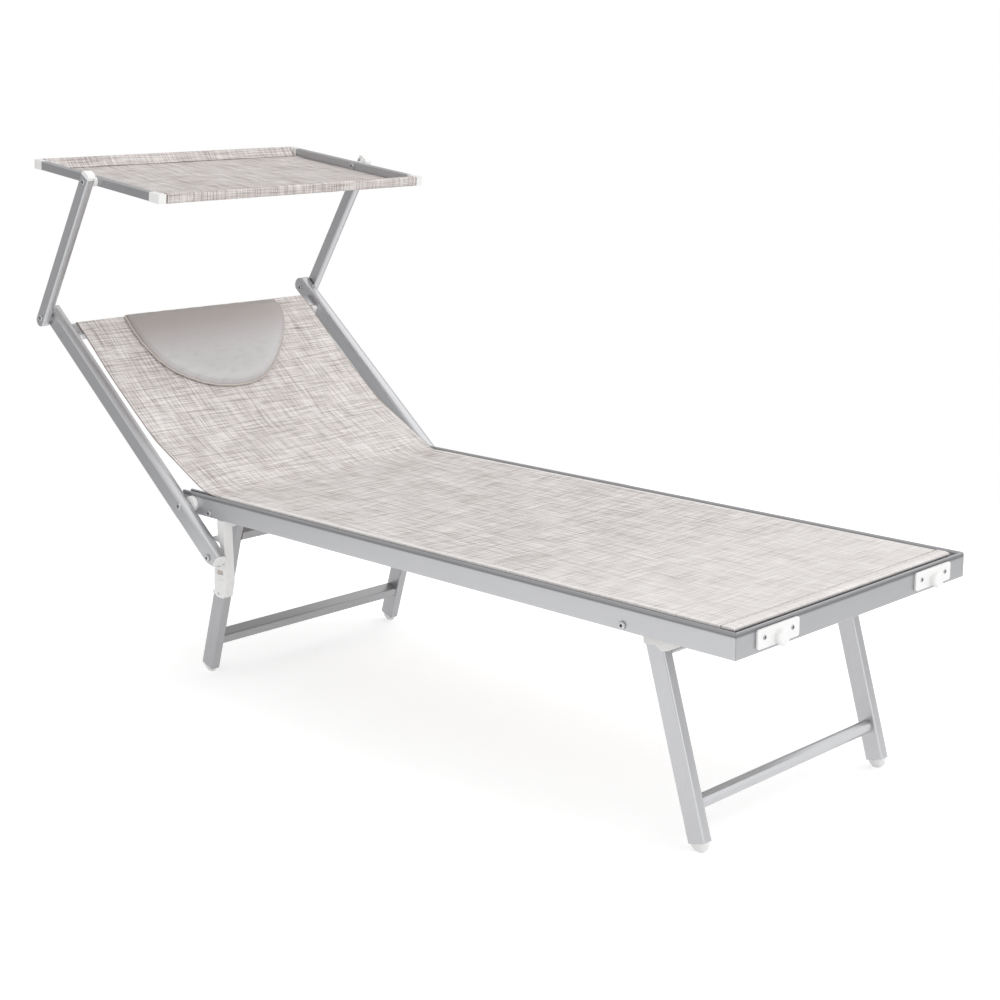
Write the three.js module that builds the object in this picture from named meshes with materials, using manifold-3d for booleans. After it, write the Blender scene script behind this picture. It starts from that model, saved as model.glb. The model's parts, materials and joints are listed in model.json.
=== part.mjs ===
import * as THREE from 'three';
import { mergeVertices } from 'three/addons/utils/BufferGeometryUtils.js';
import Module from 'manifold-3d';

const wasm = await Module();
wasm.setup();

// All lengths are in millimetres and all angles in degrees.
// Y runs from the foot end to the head end, Z is up, X is across.

// Clearances
const GAP = 0.3;
const OVER = 2;
const WELD = 0.05;
const MERGE = 0.001;
const HALF = 0.5;
const HALF_TURN = 180;

// Roundness of the geometry
const ROUND_STEPS = 12;
const CORNER_STEPS = 3;
const END_STEPS = 8;

// Bed frame
const BED_WIDTH = 620;
const BED_LENGTH = 1378;
const RAIL_WIDTH = 25;
const RAIL_WALL_HEIGHT = 37;
const RAIL_HEIGHT = 43.5;
const RAIL_LIP_HEIGHT = 41;
const RAIL_LIP_WIDTH = 6;
const RAIL_FLOOR_HEIGHT = 36.5;
const RAIL_STEP = 0.7;
const RAIL_EDGE = 1.2;
const RAIL_SHELL = 1.7;
const BEAD_WIDTH = 5.4;
const RAIL_BOTTOM = 355;
const PLUG_FLANGE = 2.6;
const PLUG_DEPTH = 12;

// Points of the bead on the rail, as shares of its width and its height
const BEAD_SHARES = [[0, 0.12], [0.04, 0.5], [0.18, 0.82], [0.45, 1], [0.72, 0.88], [0.95, 0.5], [1.1, 0]];

// Legs
const LEG_TUBE_ACROSS = 20;
const LEG_TUBE_DEEP = 35;
const LEG_FROM_RAIL = 30;
const LEG_WALL = 1.5;
const LEG_CORNER = 3;
const LEG_PIVOT_UP = 9;
const LEG_ABOVE_PIVOT = 15;
const FRONT_LEG_Y = 220;
const REAR_LEG_FROM_END = 86;
const FRONT_LEG_ANGLE = 16.2;
const REAR_LEG_ANGLE = 18.5;
const FRONT_LEG_OFFSET = -5;
const REAR_LEG_OFFSET = -3.5;
const FRONT_CAP_DOME = 16.5;
const REAR_CAP_DOME = 13.5;
const FOOT_CAP_BEFORE_TRIM = 1;
const FOOT_CAP_RINGS = 6;
const FOOT_CAP_SPIGOT = 12;
const CROSSBAR_ROUND = 24;
const CROSSBAR_DEEP = 30;
const CROSSBAR_HIGH = 20;
const CROSSBAR_WALL = 1.4;
const CROSSBAR_CORNER = 4;
const FRONT_CROSSBAR_HEIGHT = 72;
const REAR_CROSSBAR_HEIGHT = 76;
const UPPER_CROSSBAR_SIDE = 20;
const FRONT_UPPER_BELOW = 54;
const REAR_UPPER_BELOW = 57;

// Fasteners
const BOLT_SHAFT = 3.5;
const BOLT_HEAD = 7;
const BOLT_HEAD_HIGH = 3.4;
const BOLT_SOCKET = 2.6;
const BOLT_SOCKET_DEEP = 2;
const BOLT_EDGE = 1;
const NUT_RADIUS = 6.4;
const NUT_HIGH = 3.1;
const PIVOT_BOLT_HEAD = 8;
const REAR_SPACER_RADIUS = 13;

// Front leg hinge blocks, as shares of their length and height
const KNUCKLE_LENGTH = 102;
const KNUCKLE_HEIGHT = 52.5;
const KNUCKLE_AHEAD = 88;
const KNUCKLE_BELOW = 36.5;
const KNUCKLE_EDGE = 1.2;
const KNUCKLE_SHARES = [
  [0.01, 0.314], [0.054, 0.2], [0.172, 0.074], [0.311, 0], [0.37, 0.07], [0.429, 0.154], [0.538, 0.109],
  [0.657, 0.107], [0.667, 0.276], [0.696, 0.533], [0.784, 0.543], [1, 0.543], [1, 0.9], [0.95, 1],
  [0.1, 1], [0.02, 0.9], [0, 0.7], [0, 0.45],
];

// Foot rail plates with knobs
const PLATE_FROM_SIDE = 99;
const PLATE_WIDTH = 103;
const PLATE_HEIGHT = 31;
const PLATE_THICK = 3.4;
const PLATE_CORNER = 5;
const PLATE_UP = 6.2;
const PLATE_SCREW_OUT = 34.5;
const PLATE_SCREW_UP = 16.8;
const PLATE_SCREW_RADIUS = 4;
const PLATE_SCREW_HIGH = 1.2;
const PLATE_SOCKET_SHARE = 0.5;
const KNOB_RADIUS = 13;
const KNOB_UP = 10.3;
const KNOB_OUT = 13;
const KNOB_NECK_SHARE = 0.8;

// Seat sheet
const SHEET_THICK = 1.2;
const SEAT_SAG = 5;
const SEAT_SAG_STEPS = 10;
const SEAT_FROM_END = 72;

// Where the seat sheet is lofted: share of its length, share of the sag
const SEAT_STATION_SHARES = [
  [0, 0], [0.007, 0], [0.03, 0.3], [0.1, 0.8], [0.25, 1], [0.75, 1], [0.93, 0.8], [1, 0.6],
];

// Backrest
const BACK_PIVOT_FROM_END = 35.2;
const BACK_PIVOT_UP = 20.9;
const BACK_ANGLE = 39.1;
const BACK_TUBE_ACROSS = 25;
const BACK_TUBE_DEEP = 35;
const BACK_TUBE_ABOVE = 7.3;
const BACK_TUBE_WALL = 1.6;
const BACK_TUBE_TOP = 567;
const BACK_TUBE_BOTTOM = 141;
const BACK_CROWN = 4;
const BACK_REAR_ROUND = 3;
const BACK_SOLID_TOP = 22;
const BACK_CHAMFER_LONG = 21;
const BACK_CHAMFER_DEEP = 10;
const PIVOT_DISC_THICK = 9.3;
const PIVOT_DISC_RADIUS = 15.5;
const END_CAP_THICK = 3.2;
const END_CAP_SPIGOT = 8;
const CATCH_ALONG = -123;
const CATCH_BELOW = -14.3;
const TOP_BAR_LOW = 481;
const TOP_BAR_HIGH = 514.5;
const TOP_BAR_FRONT = -5.5;
const TOP_BAR_BACK = -25;
const TOP_BAR_WALL = 1.5;
const TOP_BAR_ROUND = 4;
const RIVET_ALONG = 493;
const RIVET_BELOW = -18.9;
const RIVET_RADIUS = 2.4;
const RIVET_HEAD = 4.2;
const RIVET_HEAD_HIGH = 1.4;
const RIVET_GRIP = 10;
const CLIP_HIGH = 10;
const CLIP_ACROSS = 13;
const CLIP_ROUND = 3;

// Back sheet: distance along the backrest and height above its pivot line
const BACK_SHEET_LOW = 4;
const BACK_SHEET_LOW_RISE = 31;
const BACK_SHEET_SIDE_GAP = 20.3;
const BACK_SHEET_TAPER_END = 18;
const BACK_SHEET_TAPER_START = 42;
const BACK_SHEET_RETURN = 28;
const BACK_SHEET_STEPS = 26;

// Points of its sag, as shares of the free length and of the rise at its lower end
const BACK_SAG_SHARES = [
  [0, 1], [0.02, 0.946], [0.072, 0.768], [0.144, 0.526], [0.218, 0.281], [0.29, 0.042], [0.362, -0.16],
  [0.494, -0.258], [0.627, -0.306], [0.765, -0.32], [0.9, -0.22],
];

// Headrest pillow
const PILLOW_BELOW_TOP = 4;
const PILLOW_DEPTH = 224;
const PILLOW_HALF = 191;
const PILLOW_THICK = 30;
const PILLOW_EDGE = 9;
const PILLOW_CLEAR = 1.2;
const PILLOW_OUTLINE_STEPS = 36;
const PILLOW_TOP_STEPS = 14;
const PILLOW_CENTRE_SHARE = 0.36;
const PILLOW_ROUND_POWER = 0.92;
const PILLOW_CORNER_SHARE = 0.05;

// Rings of the pillow: share of the outline, share of the edge height, share of the crown
const PILLOW_RING_SHARES = [
  [0.3, 0, 0], [0.62, 0, 0], [0.86, 0, 0], [0.965, 0, 0], [0.992, 0.3, 0], [1, 0.6, 0], [0.985, 0.9, 0.02],
  [0.94, 1, 0.2], [0.84, 1, 0.48], [0.68, 1, 0.75], [0.46, 1, 0.93], [0.22, 1, 0.99],
];

// Canopy arms
const ARM_PIVOT_ALONG = 544.5;
const ARM_PIVOT_RISE = -12;
const ARM_LENGTH = 344;
const ARM_ANGLE = 124.4;
const ARM_ACROSS = 17.5;
const ARM_DEEP = 26.5;
const ARM_FRONT = 11.5;
const ARM_SPACER = 2.8;
const ARM_WALL = 1.5;
const ARM_CROWN = 2.5;
const ARM_REAR_ROUND = 2;
const ARM_BOTTOM = 20.5;
const ARM_TUBE_TOP = 10;
const ARM_SOLID_BOTTOM = 10;
const ARM_CAP_TOP = 20;
const ARM_CAP_SPIGOT = 4;
const ARM_CAP_WEB = 2.4;
const ARM_CAP_CHAMFER_SHARE = 0.45;
const ARM_SPACER_RADIUS = 9.5;
const ARM_BOLT_HEAD = 6;
const ARM_BOLT_HEAD_HIGH = 3;
const ARM_BOLT_SHAFT = 2.8;
const ARM_NUT = 5.2;
const ARM_NUT_HIGH = 3.6;
const ARM_WASHER = 8;
const ARM_WASHER_THICK = 1.2;

// Canopy
const CANOPY_ANGLE = 7.1;
const CANOPY_FROM_ARM = 10.1;
const CANOPY_TUBE_ACROSS = 14;
const CANOPY_TUBE_HIGH = 17.6;
const CANOPY_WALL = 1.3;
const CANOPY_ROUND = 2;
const CANOPY_FRONT = -216;
const CANOPY_REAR = 228;
const CORNER_HIGH = 18.4;
const CORNER_FRONT_LONG = 33.5;
const CORNER_REAR_LONG = 29;
const CORNER_ACROSS = 17;
const CORNER_ROUND = 4;
const CORNER_GUSSET = 5;
const CORNER_SPIGOT = 9;
const CANOPY_BAR_DEEP = 11;
const CANOPY_BAR_HIGH = 15.6;
const CANOPY_BAR_BACK = 1.6;
const SLEEVE_SIDE_GAP = 3;
const CANOPY_SAG = 2.5;
const CANOPY_SAG_STEPS = 12;

// Notched rack under each rail
const RACK_THICK = 21;
const RACK_AHEAD = 94.8;
const RACK_DEEP = 38;
const RACK_SPAN = 158;
const RACK_EAR_THICK = 6;
const RACK_EAR_HIGH = 26;
const RACK_EAR_DEEP = 19;
const RACK_EAR_DROP = 14;
const RACK_WINDOW_DEEP = 4;
const RACK_GROOVE_DEEP = 1;
const RACK_DIMPLE_RADII = [1.7, 2.4, 3.2];
const RACK_DIMPLE_DEEP = 3;
const RACK_PIN_RADIUS = 4;
const RACK_PIN_OUT = 2.5;
const RACK_PIN_LONG = 12;

// Side view of the rack with its hooks: shares of its depth and of its length, both from the top front corner
const RACK_FRONT_SHARES = [[0.52, 0], [0, 0], [0, 0.78], [0.24, 0.98], [0.34, 1], [0.79, 1], [0.89, 0.99]];
const RACK_LOW_HOOK_SHARES = [
  [1, 0.973], [1.18, 0.968], [1.235, 0.946], [1.2, 0.927], [1.06, 0.924], [1.02, 0.905], [1.015, 0.79],
  [0.97, 0.68],
];
const RACK_MIDDLE_HOOK_SHARES = [
  [0.95, 0.627], [0.87, 0.611], [0.63, 0.611], [0.45, 0.595], [0.34, 0.563], [0.33, 0.532], [0.38, 0.51],
  [0.53, 0.5], [0.74, 0.503], [0.87, 0.508], [0.95, 0.494], [0.955, 0.472], [0.89, 0.456], [0.74, 0.459],
  [0.58, 0.465], [0.42, 0.45], [0.355, 0.418],
];
const RACK_HIGH_HOOK_SHARES = [
  [0.34, 0.34], [0.38, 0.295], [0.47, 0.282], [0.68, 0.275], [0.82, 0.275], [0.935, 0.266], [0.97, 0.247],
  [0.935, 0.227], [0.82, 0.218], [0.68, 0.212], [0.55, 0.196], [0.52, 0.171],
];

// Recesses in the outer side of the rack, in the same shares
const RACK_DIMPLE_SHARES = [[0.13, 0.32], [0.16, 0.545], [0.72, 0.955]];
const RACK_WINDOW_SHARES = [0.24, 0.79, 0.64, 0.7];
const RACK_GROOVE_SHARES = [0.06, 0.79, 0.755, 0.764];
const RACK_PIN_SHARES = [0.2, 0.905];

// Colours, roughness and metalness taken from the photo
const METAL = { color: 0xb9babe, roughness: 0.36, metalness: 0.9 };
const METAL_LIGHT = { color: 0xc9cacd, roughness: 0.34, metalness: 0.9 };
const ZINC = { color: 0x8d8f94, roughness: 0.3, metalness: 1 };
const WHITE = { color: 0xf0f0ee, roughness: 0.5, metalness: 0 };
const OFF_WHITE = { color: 0xdedcd8, roughness: 0.55, metalness: 0 };
const CLOTH = { color: 0xd9d0c9, roughness: 0.9, metalness: 0 };
const PAD = { color: 0xb8afaa, roughness: 0.7, metalness: 0 };

// Derived values
const RAIL_OUTER = BED_WIDTH * HALF;
const RAIL_INNER = RAIL_OUTER - RAIL_WIDTH;
const LEG_PIVOT_HEIGHT = RAIL_BOTTOM + LEG_PIVOT_UP;
const REAR_LEG_Y = BED_LENGTH - REAR_LEG_FROM_END;
const SEAT_END_Y = BED_LENGTH - SEAT_FROM_END;
const BACK_PIVOT_Y = BED_LENGTH - BACK_PIVOT_FROM_END;
const BACK_PIVOT_Z = RAIL_BOTTOM + BACK_PIVOT_UP;
const RACK_FRONT_Y = BACK_PIVOT_Y - RACK_AHEAD;
const RACK_INNER = RAIL_OUTER - RACK_THICK;
const LEG_OUTER = RAIL_INNER - LEG_FROM_RAIL;
const LEG_INNER = LEG_OUTER - LEG_TUBE_ACROSS;
const PLATE_CENTRE = RAIL_OUTER - PLATE_FROM_SIDE;
const BACK_INNER = RAIL_OUTER + PIVOT_DISC_THICK;
const BACK_OUTER = BACK_INNER + BACK_TUBE_ACROSS;
const BACK_TUBE_BELOW = BACK_TUBE_ABOVE - BACK_TUBE_DEEP;
const BACK_SHEET_HALF = BACK_INNER - BACK_SHEET_SIDE_GAP;
const BACK_SHEET_LOW_HALF = RAIL_INNER - OVER;
const ARM_INNER = BACK_OUTER + ARM_SPACER;
const ARM_OUTER = ARM_INNER + ARM_ACROSS;
const ARM_REAR = ARM_FRONT - ARM_DEEP;
const PILLOW_TOP = TOP_BAR_HIGH - PILLOW_BELOW_TOP;
const CANOPY_OUTER = ARM_INNER - CANOPY_FROM_ARM;
const CANOPY_INNER = CANOPY_OUTER - CANOPY_TUBE_ACROSS;
const LIP_TOP = RAIL_BOTTOM + RAIL_LIP_HEIGHT;
const KNOB_REACH = PLATE_THICK + KNOB_OUT + GAP;
const BODY_CENTRE_Y = (canopyRearReach() - KNOB_REACH) * HALF;

function radians(angle) {
  return THREE.MathUtils.degToRad(angle);
}

// Furthest point of the canopy toward the head, in the bed's coordinates
function canopyRearReach() {
  const back = radians(BACK_ANGLE);
  const arm = radians(ARM_ANGLE);
  const canopy = radians(CANOPY_ANGLE);
  const lower = BACK_PIVOT_Y + ARM_PIVOT_ALONG * Math.cos(back) - ARM_PIVOT_RISE * Math.sin(back);
  const upper = lower + ARM_LENGTH * Math.cos(arm);
  return upper + CANOPY_REAR * Math.cos(canopy) + CORNER_HIGH * HALF * Math.sin(canopy);
}

// Solid helpers

function signedVolume(geometry) {
  const p = geometry.attributes.position;
  const index = geometry.index;
  const a = new THREE.Vector3();
  const b = new THREE.Vector3();
  const c = new THREE.Vector3();
  let total = 0;
  for (let i = 0; i < index.count; i += 3) {
    a.fromBufferAttribute(p, index.getX(i));
    b.fromBufferAttribute(p, index.getX(i + 1));
    c.fromBufferAttribute(p, index.getX(i + 2));
    total += a.dot(b.cross(c));
  }
  return total;
}

// Merges the vertices and turns the faces outward
function closed(geometry) {
  geometry.deleteAttribute('normal');
  geometry.deleteAttribute('uv');
  const merged = mergeVertices(geometry, MERGE);
  if (signedVolume(merged) < 0) {
    const index = merged.index;
    for (let i = 0; i < index.count; i += 3) {
      const first = index.getX(i);
      index.setX(i, index.getX(i + 1));
      index.setX(i + 1, first);
    }
  }
  merged.computeVertexNormals();
  return merged;
}

function toManifold(geometry) {
  const shape = closed(geometry);
  return new wasm.Manifold(new wasm.Mesh({
    numProp: 3,
    vertProperties: Float32Array.from(shape.attributes.position.array),
    triVerts: Uint32Array.from(shape.index.array),
  }));
}

function fromManifold(manifold) {
  const mesh = manifold.getMesh();
  const count = mesh.numProp;
  const positions = new Float32Array(mesh.vertProperties.length / count * 3);
  for (let i = 0, j = 0; i < mesh.vertProperties.length; i += count, j += 3) {
    positions.set(mesh.vertProperties.subarray(i, i + 3), j);
  }
  const geometry = new THREE.BufferGeometry();
  geometry.setAttribute('position', new THREE.BufferAttribute(positions, 3));
  geometry.setIndex(new THREE.BufferAttribute(Uint32Array.from(mesh.triVerts), 1));
  return closed(geometry);
}

function cut(geometry, ...tools) {
  let body = toManifold(geometry);
  for (const tool of tools) body = body.subtract(toManifold(tool));
  return fromManifold(body);
}

function join(geometry, ...others) {
  let body = toManifold(geometry);
  for (const other of others) body = body.add(toManifold(other));
  return fromManifold(body);
}

function common(geometry, other) {
  return fromManifold(toManifold(geometry).intersect(toManifold(other)));
}

// Extrudes a drawn shape by a length, with holes and arcs
function extrude(shape, length, steps = CORNER_STEPS) {
  return new THREE.ExtrudeGeometry(shape, { depth: length, bevelEnabled: false, curveSegments: steps });
}

// Turns a solid drawn in (Y, Z) and extruded along its local z so that it runs across X
function acrossX(geometry, start) {
  const turn = new THREE.Matrix4().set(0, 0, 1, start, 1, 0, 0, 0, 0, 1, 0, 0, 0, 0, 0, 1);
  return geometry.applyMatrix4(turn);
}

// Turns a solid drawn in (X, Z) and extruded along its local z so that it runs along Y
function alongY(geometry, start) {
  const turn = new THREE.Matrix4().set(1, 0, 0, 0, 0, 0, -1, start, 0, 1, 0, 0, 0, 0, 0, 1);
  return geometry.applyMatrix4(turn);
}

function polygon(points) {
  return new THREE.Shape(points.map(([x, y]) => new THREE.Vector2(x, y)));
}

function boxBetween(x0, x1, y0, y1, z0, z1) {
  const box = new THREE.BoxGeometry(x1 - x0, y1 - y0, z1 - z0);
  return box.translate((x0 + x1) * HALF, (y0 + y1) * HALF, (z0 + z1) * HALF);
}

// Cylinder along X between two X values
function rodX(radius, x0, x1, y, z, steps = ROUND_STEPS) {
  const rod = new THREE.CylinderGeometry(radius, radius, Math.abs(x1 - x0), steps);
  rod.rotateZ(radians(HALF_TURN * HALF));
  return rod.translate((x0 + x1) * HALF, y, z);
}

// Rounded section: x0..x1 wide, y0..y1 high, with one radius for the high edge and one for the low edge
function section(x0, x1, y0, y1, roundHigh, roundLow) {
  const shape = new THREE.Shape();
  trace(shape, x0, x1, y0, y1, roundHigh, roundLow);
  return shape;
}

function trace(path, x0, x1, y0, y1, high, low) {
  const quarter = Math.PI * HALF;
  path.moveTo(x0 + low, y0);
  path.lineTo(x1 - low, y0);
  path.absarc(x1 - low, y0 + low, low, -quarter, 0, false);
  path.lineTo(x1, y1 - high);
  path.absarc(x1 - high, y1 - high, high, 0, quarter, false);
  path.lineTo(x0 + high, y1);
  path.absarc(x0 + high, y1 - high, high, quarter, Math.PI, false);
  path.lineTo(x0, y0 + low);
  path.absarc(x0 + low, y0 + low, low, Math.PI, Math.PI + quarter, false);
}

// Section with one bulging side: an arc of the given crown between two sharp edges
function crownSection(x0, x1, y0, y1, crown, low) {
  const quarter = Math.PI * HALF;
  const half = (x1 - x0) * HALF;
  const radius = (half * half + crown * crown) / (crown + crown);
  const turn = Math.asin(half / radius);
  const shape = new THREE.Shape();
  shape.moveTo(x0 + low, y0);
  shape.lineTo(x1 - low, y0);
  shape.absarc(x1 - low, y0 + low, low, -quarter, 0, false);
  shape.lineTo(x1, y1 - crown);
  shape.absarc((x0 + x1) * HALF, y1 - radius, radius, quarter - turn, quarter + turn, false);
  shape.lineTo(x0, y0 + low);
  shape.absarc(x0 + low, y0 + low, low, Math.PI, Math.PI + quarter, false);
  return shape;
}

// Tube section: the rounded section with a bore inside its wall
function tubeSection(x0, x1, y0, y1, roundHigh, roundLow, wall) {
  const shape = section(x0, x1, y0, y1, roundHigh, roundLow);
  const bore = new THREE.Path();
  const high = Math.max(roundHigh - wall, wall * HALF);
  const low = Math.max(roundLow - wall, wall * HALF);
  trace(bore, x0 + wall, x1 - wall, y0 + wall, y1 - wall, high, low);
  shape.holes.push(bore);
  return shape;
}

function mirrored(geometry) {
  return closed(geometry.clone().scale(-1, 1, 1));
}

function piece(name, geometry, look) {
  const material = new THREE.MeshStandardMaterial(look);
  const mesh = new THREE.Mesh(closed(geometry), material);
  mesh.name = name;
  return mesh;
}

// Adds the same solid on both sides, drawn for the +X side
function pair(group, name, geometry, look) {
  group.add(piece(`${name}_left`, mirrored(geometry), look));
  group.add(piece(`${name}_right`, geometry, look));
}

// Turned bolt along X with a socket in its domed head, a shaft and a nut
function bolt(size, headFace, nutFace, y, z) {
  const sunk = size.headHigh - BOLT_SOCKET_DEEP;
  const profile = [
    [0, headFace + sunk], [BOLT_SOCKET, headFace + sunk], [BOLT_SOCKET, headFace + size.headHigh],
    [size.head - BOLT_EDGE, headFace + size.headHigh], [size.head, headFace + size.headHigh - BOLT_EDGE],
    [size.head, headFace], [size.shaft, headFace], [size.shaft, nutFace], [size.nut, nutFace],
    [size.nut, nutFace - size.nutHigh], [0, nutFace - size.nutHigh],
  ];
  const turned = new THREE.LatheGeometry(profile.map(([r, x]) => new THREE.Vector2(r, x)), ROUND_STEPS);
  turned.rotateZ(-radians(HALF_TURN * HALF));
  return turned.translate(0, y, z);
}

const LEG_BOLT = {
  head: BOLT_HEAD, headHigh: BOLT_HEAD_HIGH, shaft: BOLT_SHAFT, nut: NUT_RADIUS, nutHigh: NUT_HIGH,
};
const PIVOT_BOLT = { ...LEG_BOLT, head: PIVOT_BOLT_HEAD };
const ARM_BOLT = {
  head: ARM_BOLT_HEAD, headHigh: ARM_BOLT_HEAD_HIGH, shaft: ARM_BOLT_SHAFT,
  nut: ARM_NUT, nutHigh: ARM_NUT_HIGH,
};

function boltHole(size, x0, x1, y, z) {
  return rodX(size.shaft + GAP, x0 - OVER, x1 + OVER, y, z);
}

// Bed frame

// Rail section drawn with u from the inner face outward and v up from the underside
function railShape() {
  const wallTop = RAIL_WALL_HEIGHT;
  const beadHigh = RAIL_HEIGHT - wallTop;
  const bead = BEAD_SHARES.map(([across, up]) => [
    RAIL_WIDTH - across * BEAD_WIDTH, wallTop + up * beadHigh,
  ]);
  const shape = polygon([
    [RAIL_EDGE, 0], [RAIL_WIDTH - RAIL_EDGE, 0], [RAIL_WIDTH, RAIL_EDGE],
    [RAIL_WIDTH, wallTop - RAIL_STEP], [RAIL_WIDTH - RAIL_STEP, wallTop],
    ...bead,
    [RAIL_WIDTH - BEAD_WIDTH - RAIL_LIP_WIDTH * HALF, RAIL_FLOOR_HEIGHT],
    [RAIL_LIP_WIDTH + RAIL_EDGE, RAIL_FLOOR_HEIGHT], [RAIL_LIP_WIDTH, RAIL_FLOOR_HEIGHT + RAIL_EDGE],
    [RAIL_LIP_WIDTH, RAIL_LIP_HEIGHT - RAIL_EDGE], [RAIL_LIP_WIDTH - RAIL_EDGE, RAIL_LIP_HEIGHT],
    [RAIL_EDGE, RAIL_LIP_HEIGHT], [0, RAIL_LIP_HEIGHT - RAIL_EDGE], [0, RAIL_EDGE],
  ]);
  const bore = new THREE.Path();
  const boreTop = RAIL_FLOOR_HEIGHT - RAIL_SHELL;
  trace(bore, RAIL_SHELL, RAIL_WIDTH - RAIL_SHELL, RAIL_SHELL, boreTop, RAIL_EDGE, RAIL_EDGE);
  shape.holes.push(bore);
  return shape;
}

// Wedge that cuts the 45 degree mitre at the foot corner of the +X side
function mitreWedge(side) {
  const outside = RAIL_OUTER + OVER;
  const inside = RAIL_INNER - OVER;
  const shape = side
    ? polygon([[outside, GAP - OVER], [inside, RAIL_WIDTH + OVER + GAP], [inside, -OVER]])
    : polygon([[outside, -OVER], [outside, RAIL_WIDTH + OVER], [inside, RAIL_WIDTH + OVER]]);
  const wedge = extrude(shape, RAIL_HEIGHT + OVER + OVER);
  return wedge.translate(0, 0, RAIL_BOTTOM - OVER);
}

function sideRail() {
  const bar = alongY(extrude(railShape(), BED_LENGTH), BED_LENGTH).translate(RAIL_INNER, 0, RAIL_BOTTOM);
  return cut(
    bar,
    mitreWedge(true),
    boltHole(LEG_BOLT, RAIL_INNER, RAIL_OUTER, FRONT_LEG_Y, LEG_PIVOT_HEIGHT),
    boltHole(LEG_BOLT, RAIL_INNER, RAIL_OUTER, REAR_LEG_Y, LEG_PIVOT_HEIGHT),
    boltHole(PIVOT_BOLT, RAIL_INNER, RAIL_OUTER, BACK_PIVOT_Y, BACK_PIVOT_Z),
  );
}

function footRail() {
  const bar = extrude(railShape(), BED_WIDTH);
  bar.applyMatrix4(new THREE.Matrix4().set(
    0, 0, 1, -RAIL_OUTER,
    -1, 0, 0, RAIL_WIDTH,
    0, 1, 0, RAIL_BOTTOM,
    0, 0, 0, 1,
  ));
  const wedge = mitreWedge(false);
  return cut(bar, wedge, mirrored(wedge));
}

// Plug in the open head end of a rail
function railPlug() {
  const start = BED_LENGTH + GAP;
  const face = section(0, RAIL_WIDTH, 0, RAIL_WALL_HEIGHT, RAIL_EDGE, RAIL_EDGE);
  const flange = alongY(extrude(face, PLUG_FLANGE), start + PLUG_FLANGE);
  const inset = RAIL_SHELL + GAP;
  const plug = section(inset, RAIL_WIDTH - inset, inset, RAIL_FLOOR_HEIGHT - inset, RAIL_EDGE, RAIL_EDGE);
  const spigot = alongY(extrude(plug, PLUG_DEPTH + WELD), start + WELD);
  return join(flange, spigot).translate(RAIL_INNER, 0, RAIL_BOTTOM);
}

function pivotDisc() {
  const steps = ROUND_STEPS + ROUND_STEPS;
  const disc = rodX(PIVOT_DISC_RADIUS, RAIL_OUTER + GAP, BACK_INNER - GAP, BACK_PIVOT_Y, BACK_PIVOT_Z, steps);
  return cut(disc, boltHole(PIVOT_BOLT, RAIL_OUTER, BACK_INNER, BACK_PIVOT_Y, BACK_PIVOT_Z));
}

// Hinge block between a rail and the top of a front leg, with its wavy lower edge
function frontKnuckle() {
  const start = FRONT_LEG_Y - KNUCKLE_AHEAD;
  const low = LEG_PIVOT_HEIGHT - KNUCKLE_BELOW;
  const outline = KNUCKLE_SHARES.map(([along, up]) => (
    [start + along * KNUCKLE_LENGTH, low + up * KNUCKLE_HEIGHT]
  ));
  const width = RAIL_INNER - LEG_OUTER - GAP - GAP;
  const block = new THREE.ExtrudeGeometry(polygon(outline), {
    depth: width - KNUCKLE_EDGE - KNUCKLE_EDGE, bevelThickness: KNUCKLE_EDGE, bevelSize: KNUCKLE_EDGE,
    bevelOffset: -KNUCKLE_EDGE, bevelSegments: 1, curveSegments: CORNER_STEPS,
  });
  acrossX(block, LEG_OUTER + GAP + KNUCKLE_EDGE);
  return cut(block, boltHole(LEG_BOLT, LEG_OUTER, RAIL_INNER, FRONT_LEG_Y, LEG_PIVOT_HEIGHT));
}

// Screw that carries a leg: head on the rail, nut inside the leg tube's inner wall
function legBolt(y, spacerRadius) {
  const screw = bolt(LEG_BOLT, RAIL_OUTER + GAP, LEG_INNER - GAP, y, LEG_PIVOT_HEIGHT);
  if (!spacerRadius) return screw;
  return join(screw, rodX(spacerRadius, LEG_OUTER + GAP, RAIL_INNER - GAP, y, LEG_PIVOT_HEIGHT));
}

// Plate on the foot rail with two screw heads and a round knob
function footPlate() {
  const half = PLATE_WIDTH * HALF;
  const outline = section(-half, half, 0, PLATE_HEIGHT, PLATE_CORNER, PLATE_CORNER);
  const plate = alongY(extrude(outline, PLATE_THICK), -GAP);
  plate.translate(PLATE_CENTRE, 0, RAIL_BOTTOM + PLATE_UP);
  const face = -GAP - PLATE_THICK;
  const knobProfile = [
    [0, WELD], [KNOB_RADIUS * KNOB_NECK_SHARE, WELD],
    [KNOB_RADIUS * KNOB_NECK_SHARE, -KNOB_OUT * HALF * HALF],
    [KNOB_RADIUS, -KNOB_OUT * HALF], [KNOB_RADIUS, -KNOB_OUT * KNOB_NECK_SHARE],
    [KNOB_RADIUS * KNOB_NECK_SHARE, -KNOB_OUT], [0, -KNOB_OUT],
  ];
  const knob = new THREE.LatheGeometry(knobProfile.map(([r, y]) => new THREE.Vector2(r, y)), ROUND_STEPS);
  knob.translate(PLATE_CENTRE, face, RAIL_BOTTOM + PLATE_UP + KNOB_UP);
  const parts = [plate, knob];
  for (const side of [-1, 1]) parts.push(plateScrew(PLATE_CENTRE + side * PLATE_SCREW_OUT, face));
  return join(...parts);
}

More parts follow.
